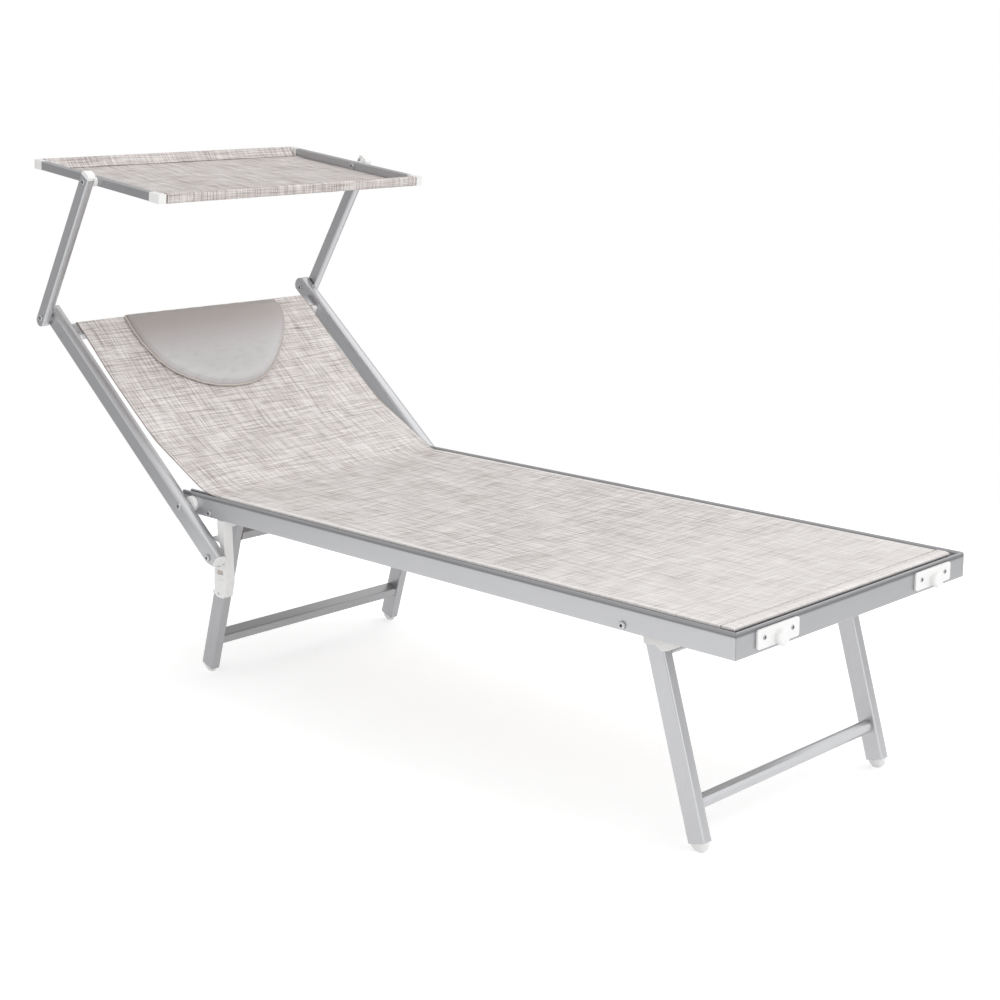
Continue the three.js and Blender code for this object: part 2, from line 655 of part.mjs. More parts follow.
function plateScrew(x, face) {
  const socket = PLATE_SCREW_RADIUS * PLATE_SOCKET_SHARE;
  const profile = [
    [0, WELD], [PLATE_SCREW_RADIUS, WELD], [PLATE_SCREW_RADIUS, -PLATE_SCREW_HIGH * PLATE_SOCKET_SHARE],
    [PLATE_SCREW_RADIUS * KNOB_NECK_SHARE, -PLATE_SCREW_HIGH], [socket, -PLATE_SCREW_HIGH],
    [socket, -PLATE_SCREW_HIGH * PLATE_SOCKET_SHARE], [0, -PLATE_SCREW_HIGH * PLATE_SOCKET_SHARE],
  ];
  const screw = new THREE.LatheGeometry(profile.map(([r, y]) => new THREE.Vector2(r, y)), END_STEPS);
  return screw.translate(x, face, RAIL_BOTTOM + PLATE_UP + PLATE_SCREW_UP);
}

// Notched rack

function rackPoint([deep, down]) {
  return [RACK_FRONT_Y + deep * RACK_DEEP, RAIL_BOTTOM - GAP - down * RACK_SPAN];
}

// Ear that fixes the rack to the inner face of the rail
function rackEar() {
  const top = RAIL_BOTTOM - GAP;
  const low = top - RACK_EAR_DROP;
  const inner = RAIL_INNER - GAP - RACK_EAR_THICK;
  const back = RACK_FRONT_Y + RACK_EAR_DEEP;
  const ear = boxBetween(inner, RAIL_INNER - GAP, RACK_FRONT_Y, back, low, top + RACK_EAR_HIGH);
  return join(ear, boxBetween(inner, RACK_INNER + WELD, RACK_FRONT_Y, back, low, top));
}

// Blind holes, window and groove in the outer side of the rack
function rackRecesses() {
  const outer = RAIL_OUTER + OVER;
  const recess = (shares, deep) => {
    const [front, high] = rackPoint([shares[0], shares[2]]);
    const [back, low] = rackPoint([shares[1], shares[3]]);
    return boxBetween(RAIL_OUTER - deep, outer, front, back, low, high);
  };
  const dimples = RACK_DIMPLE_SHARES.map((place, i) => {
    const [y, z] = rackPoint(place);
    return rodX(RACK_DIMPLE_RADII[i], RAIL_OUTER - RACK_DIMPLE_DEEP, outer, y, z);
  });
  const window = recess(RACK_WINDOW_SHARES, RACK_WINDOW_DEEP);
  return [window, recess(RACK_GROOVE_SHARES, RACK_GROOVE_DEEP), ...dimples];
}

// Round pin on the slanted lower facet of the rack
function rackPin() {
  const [y, z] = rackPoint(RACK_PIN_SHARES);
  const pin = new THREE.CylinderGeometry(RACK_PIN_RADIUS, RACK_PIN_RADIUS, RACK_PIN_LONG, ROUND_STEPS);
  return pin.translate(RAIL_OUTER - RACK_THICK * HALF, y - RACK_PIN_OUT + RACK_PIN_LONG * HALF, z);
}

// Rack with three hooks that point to the head end and a pocket under each of the upper two
function rack() {
  const outline = [
    ...RACK_FRONT_SHARES, ...RACK_LOW_HOOK_SHARES, ...RACK_MIDDLE_HOOK_SHARES, ...RACK_HIGH_HOOK_SHARES,
  ].map(rackPoint);
  const body = acrossX(extrude(polygon(outline), RACK_THICK), RACK_INNER);
  return cut(join(body, rackEar(), rackPin()), ...rackRecesses());
}

// Seat sheet

// Joins outlines with the same number of points into one closed solid
function loft(outlines) {
  const count = outlines[0].length;
  const positions = outlines.flat(2);
  const index = [];
  for (let ring = 0; ring < outlines.length - 1; ring += 1) {
    for (let i = 0; i < count; i += 1) {
      const a = ring * count + i;
      const b = ring * count + (i + 1) % count;
      index.push(a, b, b + count, a, b + count, a + count);
    }
  }
  const flat = outlines[0].map(([x, , z]) => new THREE.Vector2(x, z));
  const last = (outlines.length - 1) * count;
  for (const [a, b, c] of THREE.ShapeUtils.triangulateShape(flat, [])) {
    index.push(c, b, a, last + a, last + b, last + c);
  }
  const geometry = new THREE.BufferGeometry();
  geometry.setAttribute('position', new THREE.BufferAttribute(Float32Array.from(positions), 3));
  geometry.setIndex(index);
  return geometry;
}

// Cross section of the seat sheet: a shallow sag with an edge turned down into each rail groove
function seatOutline(y, sag) {
  const edge = RAIL_INNER + RAIL_LIP_WIDTH + GAP;
  const low = LIP_TOP + GAP;
  const drop = RAIL_BOTTOM + RAIL_FLOOR_HEIGHT + RAIL_EDGE;
  const span = RAIL_INNER - OVER;
  const under = [];
  const over = [];
  for (let i = 0; i <= SEAT_SAG_STEPS; i += 1) {
    const side = i / SEAT_SAG_STEPS / HALF - 1;
    const z = low - sag * SEAT_SAG * (1 - side * side);
    under.push([side * span, y, z]);
    over.unshift([side * span, y, z + SHEET_THICK]);
  }
  return [
    [-edge - SHEET_THICK, y, drop], [-edge, y, drop], [-edge, y, low], ...under,
    [edge, y, low], [edge, y, drop],
    [edge + SHEET_THICK, y, drop], [edge + SHEET_THICK, y, low + SHEET_THICK], ...over,
    [-edge - SHEET_THICK, y, low + SHEET_THICK],
  ];
}

function seatSheet() {
  const foot = RAIL_WIDTH - RAIL_LIP_WIDTH - GAP;
  const sheet = loft(SEAT_STATION_SHARES.map(([along, sag]) => (
    seatOutline(foot + along * (SEAT_END_Y - foot), sag)
  )));
  const edge = RAIL_INNER + RAIL_LIP_WIDTH + GAP;
  const drop = RAIL_BOTTOM + RAIL_FLOOR_HEIGHT + RAIL_EDGE;
  const top = LIP_TOP + GAP + SHEET_THICK;
  const footEdge = boxBetween(-edge, edge, foot - SHEET_THICK, foot + WELD, drop, top);
  return join(sheet, footEdge);
}

// Legs, drawn with the leg's pivot at the origin and the leg running down

function legLength(lean, offset, dome) {
  const down = radians(lean);
  const reach = LEG_TUBE_DEEP * HALF * Math.sin(down);
  const support = Math.hypot(reach, dome * Math.cos(down)) - FOOT_CAP_BEFORE_TRIM;
  const side = Math.sign(lean);
  return (LEG_PIVOT_HEIGHT - support - side * offset * Math.sin(down)) / Math.cos(down);
}

function legTube(length, offset) {
  const deep = LEG_TUBE_DEEP * HALF;
  const shape = tubeSection(
    LEG_INNER, LEG_OUTER, offset - deep, offset + deep, LEG_CORNER, LEG_CORNER, LEG_WALL,
  );
  const tube = extrude(shape, length + LEG_ABOVE_PIVOT).translate(0, 0, -length);
  return cut(tube, boltHole(LEG_BOLT, LEG_INNER, LEG_OUTER, 0, 0));
}

// Domed foot cap, trimmed flat where it stands on the floor
function footCap(length, offset, lean, dome) {
  const rings = [];
  for (let i = 0; i <= FOOT_CAP_RINGS; i += 1) {
    const turn = (i / FOOT_CAP_RINGS) * Math.PI * HALF;
    rings.push([Math.cos(turn), Math.sin(turn)]);
  }
  const profile = [new THREE.Vector2(0, 0), ...rings.map(([r, d]) => new THREE.Vector2(r, -d))];
  profile[profile.length - 1].x = 0;
  const upright = new THREE.LatheGeometry(profile, ROUND_STEPS).rotateX(radians(HALF_TURN * HALF));
  upright.scale(LEG_TUBE_ACROSS * HALF, LEG_TUBE_DEEP * HALF, dome);
  const x = (LEG_INNER + LEG_OUTER) * HALF;
  upright.translate(x, offset, -length - GAP);
  const inset = LEG_WALL + GAP;
  const deep = LEG_TUBE_DEEP * HALF - inset;
  const plug = section(
    LEG_INNER + inset, LEG_OUTER - inset, offset - deep, offset + deep, LEG_WALL, LEG_WALL,
  );
  const spigot = extrude(plug, FOOT_CAP_SPIGOT + GAP + WELD).translate(0, 0, -length - GAP - WELD);
  const floor = boxBetween(
    LEG_INNER - OVER, LEG_OUTER + OVER, -LEG_PIVOT_HEIGHT, LEG_PIVOT_HEIGHT,
    -LEG_PIVOT_HEIGHT - LEG_TUBE_DEEP, -LEG_PIVOT_HEIGHT,
  );
  floor.rotateX(-radians(lean));
  return cut(join(upright, spigot), floor);
}

function roundCrossbar(y, z) {
  const half = CROSSBAR_ROUND * HALF;
  const outer = rodX(half, GAP - LEG_INNER, LEG_INNER - GAP, y, z);
  return cut(outer, rodX(half - CROSSBAR_WALL, -LEG_INNER - OVER, LEG_INNER + OVER, y, z));
}

function squareCrossbar(y, z, deep, high) {
  const shape = tubeSection(
    -deep * HALF, deep * HALF, -high * HALF, high * HALF, CROSSBAR_CORNER, CROSSBAR_CORNER, CROSSBAR_WALL,
  );
  const bar = acrossX(extrude(shape, LEG_INNER + LEG_INNER - GAP - GAP), GAP - LEG_INNER);
  return bar.translate(0, y, z);
}

const FRONT_LEGS = {
  name: 'front', y: FRONT_LEG_Y, turn: -FRONT_LEG_ANGLE, offset: FRONT_LEG_OFFSET, dome: FRONT_CAP_DOME,
  lowerHeight: FRONT_CROSSBAR_HEIGHT, upperBelow: FRONT_UPPER_BELOW, roundLower: true,
};
const REAR_LEGS = {
  name: 'rear', y: REAR_LEG_Y, turn: REAR_LEG_ANGLE, offset: REAR_LEG_OFFSET, dome: REAR_CAP_DOME,
  lowerHeight: REAR_CROSSBAR_HEIGHT, upperBelow: REAR_UPPER_BELOW, roundLower: false,
};

// Leg frame: two tubes, two crossbars and two foot caps, hung at the pivot
function legFrame({ name, y, turn, offset, dome, lowerHeight, upperBelow, roundLower }) {
  const group = new THREE.Group();
  group.name = `${name}_legs`;
  const lean = Math.abs(turn);
  const length = legLength(lean, Math.sign(turn) * -offset, dome);
  pair(group, `${name}_leg`, legTube(length, offset), METAL);
  pair(group, `${name}_foot_cap`, footCap(length, offset, turn, dome), WHITE);
  const lowerZ = (lowerHeight - LEG_PIVOT_HEIGHT) / Math.cos(radians(lean));
  const lower = roundLower
    ? roundCrossbar(offset, lowerZ)
    : squareCrossbar(offset, lowerZ, CROSSBAR_DEEP, CROSSBAR_HIGH);
  group.add(piece(`${name}_lower_crossbar`, lower, METAL_LIGHT));
  const upperY = offset - LEG_TUBE_DEEP * HALF + UPPER_CROSSBAR_SIDE * HALF;
  const upper = squareCrossbar(upperY, -upperBelow, UPPER_CROSSBAR_SIDE, UPPER_CROSSBAR_SIDE);
  group.add(piece(`${name}_upper_crossbar`, upper, METAL));
  group.position.set(0, y, LEG_PIVOT_HEIGHT);
  group.rotation.x = radians(turn);
  return group;
}

// Backrest, drawn with its pivot at the origin and its tubes along Y

// Tube along Y with a crowned front, one half round closed end and one open end
function roundEndTube(size) {
  const around = crownSection(size.x0, size.x1, size.z0, size.z1, size.crown, size.rear);
  const outer = extrude(around, size.high - size.low);
  alongY(outer, size.high);
  const middle = (size.z0 + size.z1) * HALF;
  const radius = (size.z1 - size.z0) * HALF;
  const toward = size.roundHigh ? 1 : -1;
  const centre = size.roundHigh ? size.high - radius : size.low + radius;
  const open = (size.roundHigh ? size.low : size.high) - toward * OVER;
  const side = new THREE.Shape();
  side.moveTo(open, size.z0 - OVER);
  side.lineTo(centre, size.z0 - OVER);
  side.lineTo(centre, size.z0);
  side.absarc(centre, middle, radius, -Math.PI * HALF, Math.PI * HALF, !size.roundHigh);
  side.lineTo(centre, size.z1 + OVER);
  side.lineTo(open, size.z1 + OVER);
  side.closePath();
  const sideSolid = acrossX(extrude(side, size.x1 - size.x0 + OVER + OVER, END_STEPS), size.x0 - OVER);
  const wall = size.wall;
  const boreShape = crownSection(
    size.x0 + wall, size.x1 - wall, size.z0 + wall, size.z1 - wall, size.crown - wall * HALF,
    Math.max(size.rear - wall, wall),
  );
  const boreLow = size.roundHigh ? size.low - OVER : size.low + size.solidEnd + radius;
  const boreHigh = size.roundHigh ? size.high - size.solidEnd : size.high + OVER;
  const bore = alongY(extrude(boreShape, boreHigh - boreLow), boreHigh);
  return cut(common(outer, sideSolid), bore);
}

// Wedge that takes the rear corner off the lower end of a backrest tube and of its cap
function backChamfer() {
  const end = -BACK_TUBE_BOTTOM;
  const shape = polygon([
    [end + BACK_CHAMFER_LONG, BACK_TUBE_BELOW], [end + BACK_CHAMFER_LONG, BACK_TUBE_BELOW - OVER],
    [end - BACK_CHAMFER_LONG, BACK_TUBE_BELOW - OVER],
    [end - BACK_CHAMFER_LONG, BACK_TUBE_BELOW + BACK_CHAMFER_DEEP],
    [end, BACK_TUBE_BELOW + BACK_CHAMFER_DEEP],
  ]);
  return acrossX(extrude(shape, BACK_TUBE_ACROSS + OVER + OVER), BACK_INNER - OVER);
}

function backTube() {
  const tube = roundEndTube({
    x0: BACK_INNER, x1: BACK_OUTER, z0: BACK_TUBE_BELOW, z1: BACK_TUBE_ABOVE,
    crown: BACK_CROWN, rear: BACK_REAR_ROUND, wall: BACK_TUBE_WALL,
    low: -BACK_TUBE_BOTTOM, high: BACK_TUBE_TOP, roundHigh: true, solidEnd: BACK_SOLID_TOP,
  });
  return cut(
    tube,
    backChamfer(),
    boltHole(PIVOT_BOLT, BACK_INNER, BACK_OUTER, 0, 0),
    boltHole(LEG_BOLT, BACK_INNER, BACK_OUTER, CATCH_ALONG, CATCH_BELOW),
    boltHole(ARM_BOLT, BACK_INNER, BACK_OUTER, ARM_PIVOT_ALONG, ARM_PIVOT_RISE),
    rodX(RIVET_RADIUS + GAP, BACK_INNER - OVER, BACK_OUTER + OVER, RIVET_ALONG, RIVET_BELOW),
  );
}

// Cap that closes the lower end of a backrest tube, with a plug inside it
function backEndCap() {
  const end = -BACK_TUBE_BOTTOM - GAP;
  const face = crownSection(
    BACK_INNER, BACK_OUTER, BACK_TUBE_BELOW, BACK_TUBE_ABOVE, BACK_CROWN, BACK_REAR_ROUND,
  );
  const flange = alongY(extrude(face, END_CAP_THICK), end);
  const inset = BACK_TUBE_WALL + GAP;
  const plug = section(
    BACK_INNER + inset, BACK_OUTER - inset, BACK_TUBE_BELOW + BACK_CHAMFER_DEEP + inset,
    BACK_TUBE_ABOVE - BACK_CROWN - GAP, BACK_REAR_ROUND, BACK_REAR_ROUND,
  );
  const spigot = alongY(extrude(plug, END_CAP_SPIGOT + WELD), end + END_CAP_SPIGOT);
  return join(cut(flange, backChamfer()), spigot);
}

// Flat tube across the top of the backrest with a rivet through each backrest tube
function topBar() {
  const shape = tubeSection(
    TOP_BAR_LOW, TOP_BAR_HIGH, TOP_BAR_BACK, TOP_BAR_FRONT, TOP_BAR_ROUND, TOP_BAR_ROUND, TOP_BAR_WALL,
  );
  const reach = BACK_INNER - GAP;
  const bar = acrossX(extrude(shape, reach + reach), -reach);
  const rivet = rodX(RIVET_RADIUS, reach - RIVET_GRIP, BACK_OUTER + GAP + WELD, RIVET_ALONG, RIVET_BELOW);
  const face = BACK_OUTER + GAP;
  const head = rodX(RIVET_HEAD, face, face + RIVET_HEAD_HIGH, RIVET_ALONG, RIVET_BELOW);
  const web = boxBetween(
    reach - RIVET_GRIP, reach - SHEET_THICK, RIVET_ALONG - RIVET_HEAD, RIVET_ALONG + RIVET_HEAD,
    TOP_BAR_BACK + WELD, RIVET_BELOW,
  );
  const end = join(rivet, head, web);
  return join(bar, end, mirrored(end));
}

// Clip under each end of the top bar, against the backrest tube
function topBarClip() {
  const shape = section(
    TOP_BAR_LOW - GAP - CLIP_HIGH, TOP_BAR_LOW - GAP, TOP_BAR_BACK, TOP_BAR_FRONT, CLIP_ROUND, CLIP_ROUND,
  );
  return acrossX(extrude(shape, CLIP_ACROSS), BACK_INNER - GAP - CLIP_ACROSS);
}

// Height of the back sheet's underside above the pivot line at a place along the backrest
function sheetRise(along) {
  const flat = TOP_BAR_FRONT + GAP;
  if (along >= TOP_BAR_LOW) return flat;
  const share = (along - BACK_SHEET_LOW) / (TOP_BAR_LOW - BACK_SHEET_LOW);
  const points = [...BACK_SAG_SHARES.map(([t, rise]) => [t, rise * BACK_SHEET_LOW_RISE]), [1, flat]];
  for (let i = 1; i < points.length; i += 1) {
    if (share <= points[i][0]) {
      const [x0, y0] = points[i - 1];
      const [x1, y1] = points[i];
      const slopeIn = slopeAt(points, i - 1) * (x1 - x0);
      const slopeOut = slopeAt(points, i) * (x1 - x0);
      return hermite((share - x0) / (x1 - x0), y0, y1, slopeIn, slopeOut);
    }
  }
  return flat;
}

function slopeAt(points, i) {
  const before = points[Math.max(i - 1, 0)];
  const after = points[Math.min(i + 1, points.length - 1)];
  return (after[1] - before[1]) / (after[0] - before[0]);
}

function hermite(t, y0, y1, m0, m1) {
  const t2 = t * t;
  const t3 = t2 * t;
  return (2 * t3 - 3 * t2 + 1) * y0 + (t3 - 2 * t2 + t) * m0 + (3 * t2 - 2 * t3) * y1 + (t3 - t2) * m1;
}

// Back sheet: hangs in a shallow curve from the top bar, which it wraps
function backSheet() {
  const under = [];
  const over = [];
  for (let i = 0; i <= BACK_SHEET_STEPS; i += 1) {
    const along = BACK_SHEET_LOW + (i / BACK_SHEET_STEPS) * (TOP_BAR_LOW - BACK_SHEET_LOW);
    under.push([along, sheetRise(along)]);
    over.unshift([along, sheetRise(along) + SHEET_THICK]);
  }
  const front = TOP_BAR_FRONT + GAP;
  const back = TOP_BAR_BACK - GAP;
  const end = TOP_BAR_HIGH + GAP;
  const turned = TOP_BAR_HIGH - BACK_SHEET_RETURN;
  const outline = [
    ...under,
    [TOP_BAR_HIGH, front], [end, TOP_BAR_FRONT], [end, TOP_BAR_BACK], [TOP_BAR_HIGH, back], [turned, back],
    [turned, back - SHEET_THICK], [TOP_BAR_HIGH, back - SHEET_THICK],
    [end + SHEET_THICK, TOP_BAR_BACK], [end + SHEET_THICK, TOP_BAR_FRONT],
    [TOP_BAR_HIGH, front + SHEET_THICK],
    ...over,
  ];
  const wide = BACK_SHEET_HALF;
  const sheet = acrossX(extrude(polygon(outline), wide + wide), -wide);
  const trim = extrude(polygon([
    [BACK_SHEET_LOW_HALF, BACK_SHEET_LOW - OVER], [BACK_SHEET_LOW_HALF, BACK_SHEET_TAPER_END],
    [wide, BACK_SHEET_TAPER_START], [wide + OVER, BACK_SHEET_TAPER_START],
    [wide + OVER, BACK_SHEET_LOW - OVER],
  ]), BACK_SHEET_LOW_RISE + BACK_SHEET_LOW_RISE);
  return cut(sheet, trim, mirrored(trim));
}

// Half moon outline of the pillow: distances across and along from its top middle
function pillowOutline() {
  const points = [];
  const corner = PILLOW_HALF * PILLOW_CORNER_SHARE;
  for (let i = 0; i <= PILLOW_TOP_STEPS; i += 1) {
    const x = (PILLOW_HALF - corner) * (1 - 2 * i / PILLOW_TOP_STEPS);
    points.push([x, 0]);
  }
  for (let i = 0; i <= PILLOW_OUTLINE_STEPS; i += 1) {
    const turn = Math.PI * (i / PILLOW_OUTLINE_STEPS);
    const along = Math.sin(turn);
    const across = Math.cos(turn);
    points.push([
      -PILLOW_HALF * Math.sign(across) * Math.abs(across) ** PILLOW_ROUND_POWER,
      corner + (PILLOW_DEPTH - corner) * along,
    ]);
  }
  return points;
}

// Crowned pillow lying on the back sheet
function headrest() {
  const outline = pillowOutline();
  const centre = [0, PILLOW_DEPTH * PILLOW_CENTRE_SHARE];
  const positions = [];
  const place = (x, down, edge, crown) => {
    const along = PILLOW_TOP - down;
    const base = sheetRise(along) + SHEET_THICK + PILLOW_CLEAR;
    const high = edge * PILLOW_EDGE + crown * (PILLOW_THICK - PILLOW_EDGE);
    positions.push(x, along, base + high);
  };
  for (const [share, edge, crown] of PILLOW_RING_SHARES) {
    for (const [x, down] of outline) {
      place(centre[0] + (x - centre[0]) * share, centre[1] + (down - centre[1]) * share, edge, crown);
    }
  }
  const count = outline.length;
  const rings = PILLOW_RING_SHARES.length;
  place(centre[0], centre[1], 0, 0);
  place(centre[0], centre[1], 1, 1);
  const index = [];
  for (let ring = 0; ring < rings - 1; ring += 1) {
    for (let i = 0; i < count; i += 1) {
      const a = ring * count + i;
      const b = ring * count + (i + 1) % count;
      index.push(a, b, b + count, a, b + count, a + count);
    }
  }
  for (let i = 0; i < count; i += 1) {
    const next = (i + 1) % count;
    index.push(rings * count, next, i);
    index.push(rings * count + 1, (rings - 1) * count + i, (rings - 1) * count + next);
  }
  const geometry = new THREE.BufferGeometry();
  geometry.setAttribute('position', new THREE.BufferAttribute(Float32Array.from(positions), 3));
  geometry.setIndex(index);
  return geometry;
}

// Canopy arms, drawn with their lower pivot at the origin and the arm along Y

function armTube() {
  const tube = roundEndTube({
    x0: ARM_INNER, x1: ARM_OUTER, z0: ARM_REAR, z1: ARM_FRONT, crown: ARM_CROWN, rear: ARM_REAR_ROUND,
    wall: ARM_WALL, low: -ARM_BOTTOM, high: ARM_LENGTH + ARM_TUBE_TOP,
    roundHigh: false, solidEnd: ARM_SOLID_BOTTOM,
  });
  return cut(
    tube,
    boltHole(ARM_BOLT, ARM_INNER, ARM_OUTER, 0, 0),
    boltHole(ARM_BOLT, ARM_INNER, ARM_OUTER, ARM_LENGTH, 0),
  );
}

// White end cap of an arm with the boss that keeps the arm off the canopy tube
function armCap() {
  const quarter = ARM_DEEP * HALF * HALF;
  const start = ARM_LENGTH + ARM_TUBE_TOP + GAP;
  const end = ARM_LENGTH + ARM_CAP_TOP;
  const slope = (end - start) * ARM_CAP_CHAMFER_SHARE;
  const shell = alongY(
    extrude(
      crownSection(ARM_INNER, ARM_OUTER, ARM_REAR, ARM_FRONT, ARM_CROWN, ARM_REAR_ROUND), end - start,
    ), end,
  );
  const side = polygon([
    [start - OVER, ARM_REAR - OVER], [end - slope, ARM_REAR - OVER], [end - slope, ARM_REAR],
    [end, ARM_REAR + quarter], [end, ARM_FRONT - quarter], [end - slope, ARM_FRONT],
    [end - slope, ARM_FRONT + OVER], [start - OVER, ARM_FRONT + OVER],
  ]);
  const head = common(shell, acrossX(extrude(side, ARM_ACROSS + OVER + OVER), ARM_INNER - OVER));
  const inset = ARM_WALL + GAP;
  const spigot = boxBetween(
    ARM_INNER + inset, ARM_OUTER - inset, start - ARM_CAP_SPIGOT, start + WELD,
    ARM_REAR + quarter, ARM_FRONT - quarter,
  );
  const bossInner = CANOPY_OUTER + GAP;
  const bossOuter = ARM_INNER - GAP;
  const boss = rodX(ARM_SPACER_RADIUS, bossInner, bossOuter, ARM_LENGTH, 0);
  const web = boxBetween(
    bossOuter - ARM_CAP_WEB, bossOuter, ARM_LENGTH, end - slope,
    -ARM_SPACER_RADIUS * HALF, ARM_SPACER_RADIUS * HALF,
  );
  const bridge = boxBetween(
    bossOuter - ARM_CAP_WEB, ARM_INNER + inset, start, end - slope,
    -ARM_SPACER_RADIUS * HALF, ARM_SPACER_RADIUS * HALF,
  );
  return cut(join(head, spigot, boss, web, bridge), boltHole(ARM_BOLT, bossInner, bossOuter, ARM_LENGTH, 0));
}

function armLowerBolt() {
  const screw = bolt(ARM_BOLT, ARM_OUTER + GAP, BACK_INNER - GAP, 0, 0);
  return join(screw, rodX(ARM_SPACER_RADIUS, BACK_OUTER + GAP, ARM_INNER - GAP, 0, 0));
}

function armUpperBolt() {
  const screw = bolt(ARM_BOLT, ARM_OUTER + GAP, CANOPY_INNER - GAP, ARM_LENGTH, 0);
  const washer = rodX(ARM_WASHER, CANOPY_INNER - GAP - ARM_WASHER_THICK, CANOPY_INNER - GAP, ARM_LENGTH, 0);
  return join(screw, washer);
}

// Canopy frame, drawn with the upper arm pivot at the origin and its side tubes along Y

function canopyTube() {
  const half = CANOPY_TUBE_HIGH * HALF;
  const front = CANOPY_FRONT + CORNER_FRONT_LONG + GAP;
  const rear = CANOPY_REAR - CORNER_REAR_LONG - GAP;
  const shape = tubeSection(CANOPY_INNER, CANOPY_OUTER, -half, half, CANOPY_ROUND, CANOPY_ROUND, CANOPY_WALL);
  const tube = alongY(extrude(shape, rear - front), rear);
  return cut(tube, boltHole(ARM_BOLT, CANOPY_INNER, CANOPY_OUTER, 0, 0));
}

// L shaped corner with a spigot into the side tube and one into the cross bar
function canopyCorner(end, long, side) {
  const inward = -side;
  const reachIn = CANOPY_OUTER - CORNER_ACROSS;
  const deep = CANOPY_BAR_DEEP + CANOPY_BAR_BACK + CANOPY_BAR_BACK;
  const shape = new THREE.Shape();
  shape.moveTo(reachIn, end);
  shape.lineTo(CANOPY_OUTER - CORNER_ROUND, end);
  shape.quadraticCurveTo(CANOPY_OUTER, end, CANOPY_OUTER, end + inward * CORNER_ROUND);
  shape.lineTo(CANOPY_OUTER, end + inward * long);
  shape.lineTo(CANOPY_INNER, end + inward * long);
  shape.lineTo(CANOPY_INNER, end + inward * (deep + CORNER_GUSSET));
  shape.quadraticCurveTo(CANOPY_INNER, end + inward * deep, reachIn, end + inward * deep);
  shape.closePath();
  const body = extrude(shape, CORNER_HIGH).translate(0, 0, -CORNER_HIGH * HALF);
  const half = CANOPY_TUBE_HIGH * HALF;
  const inset = CANOPY_WALL + GAP;
  const tongueEnd = end + inward * (long + CORNER_SPIGOT);
  const tongueStart = end + inward * (long - WELD);
  const tongue = boxBetween(
    CANOPY_INNER + inset, CANOPY_OUTER - inset,
    Math.min(tongueStart, tongueEnd), Math.max(tongueStart, tongueEnd),
    inset - half, half - inset,
  );
  const barMiddle = end + inward * deep * HALF;
  const barHalf = CANOPY_BAR_DEEP * HALF - inset;
  const stub = boxBetween(
    reachIn - CORNER_SPIGOT, reachIn + WELD, barMiddle - barHalf, barMiddle + barHalf,
    inset - CANOPY_BAR_HIGH * HALF, CANOPY_BAR_HIGH * HALF - inset,
  );
  return join(body, tongue, stub);
}

function barCentre(end, side) {
  return end - side * (CANOPY_BAR_DEEP * HALF + CANOPY_BAR_BACK);
}

function canopyBar(end, side) {
  const middle = barCentre(end, side);
  const deep = CANOPY_BAR_DEEP * HALF;
  const high = CANOPY_BAR_HIGH * HALF;
  const shape = tubeSection(
    middle - deep, middle + deep, -high, high, CANOPY_ROUND, CANOPY_ROUND, CANOPY_WALL,
  );
  const reach = CANOPY_OUTER - CORNER_ACROSS - GAP;
  return acrossX(extrude(shape, reach + reach), -reach);
}

// Canopy sheet: a sleeve round each bar and a slightly sagging panel between their undersides
function canopySheet() {
  const reach = CANOPY_OUTER - CORNER_ACROSS - SLEEVE_SIDE_GAP;
  const outer = CANOPY_ROUND + SHEET_THICK;
  const high = CANOPY_BAR_HIGH * HALF + GAP + SHEET_THICK;
  const sleeve = (end, side) => {
    const middle = barCentre(end, side);
    const deep = CANOPY_BAR_DEEP * HALF + GAP + SHEET_THICK;
    const shape = tubeSection(middle - deep, middle + deep, -high, high, outer, outer, SHEET_THICK);
    return acrossX(extrude(shape, reach + reach), -reach);
  };
  const start = barCentre(CANOPY_FRONT, -1);
  const finish = barCentre(CANOPY_REAR, 1);
  const inner = CANOPY_BAR_DEEP * HALF + GAP;
  const under = [];
  const over = [];
  for (let i = 0; i <= CANOPY_SAG_STEPS; i += 1) {
    const share = i / CANOPY_SAG_STEPS;
    const along = start + inner + share * (finish - start - inner - inner);
    const low = WELD - high - CANOPY_SAG * (1 - (2 * share - 1) ** 2);
    under.push([along, low]);
    over.unshift([along, low + SHEET_THICK]);
  }
  const edge = CANOPY_BAR_DEEP * HALF - CANOPY_ROUND;
  const outline = [
    [start + edge, WELD - high], ...under, [finish - edge, WELD - high],
    [finish - edge, SHEET_THICK - WELD - high], ...over, [start + edge, SHEET_THICK - WELD - high],
  ];
  const panel = acrossX(extrude(polygon(outline), reach + reach), -reach);
  return join(sleeve(CANOPY_FRONT, -1), sleeve(CANOPY_REAR, 1), panel);
}

// Assembly

function bedGroup() {
  const group = new THREE.Group();
  group.name = 'bed_frame';
  pair(group, 'side_rail', sideRail(), METAL);
  group.add(piece('foot_rail', footRail(), METAL_LIGHT));
  pair(group, 'rail_plug', railPlug(), OFF_WHITE);
  pair(group, 'back_pivot_disc', pivotDisc(), WHITE);
  const pivotBolt = bolt(PIVOT_BOLT, BACK_OUTER + GAP, RAIL_INNER - GAP, BACK_PIVOT_Y, BACK_PIVOT_Z);
  pair(group, 'back_pivot_bolt', pivotBolt, ZINC);
  pair(group, 'recline_rack', rack(), OFF_WHITE);
  pair(group, 'front_hinge_block', frontKnuckle(), OFF_WHITE);
  pair(group, 'front_leg_bolt', legBolt(FRONT_LEG_Y, 0), ZINC);
  pair(group, 'rear_leg_bolt', legBolt(REAR_LEG_Y, REAR_SPACER_RADIUS), ZINC);
  pair(group, 'foot_plate', footPlate(), WHITE);
  group.add(piece('seat_sheet', seatSheet(), CLOTH));
  return group;
}

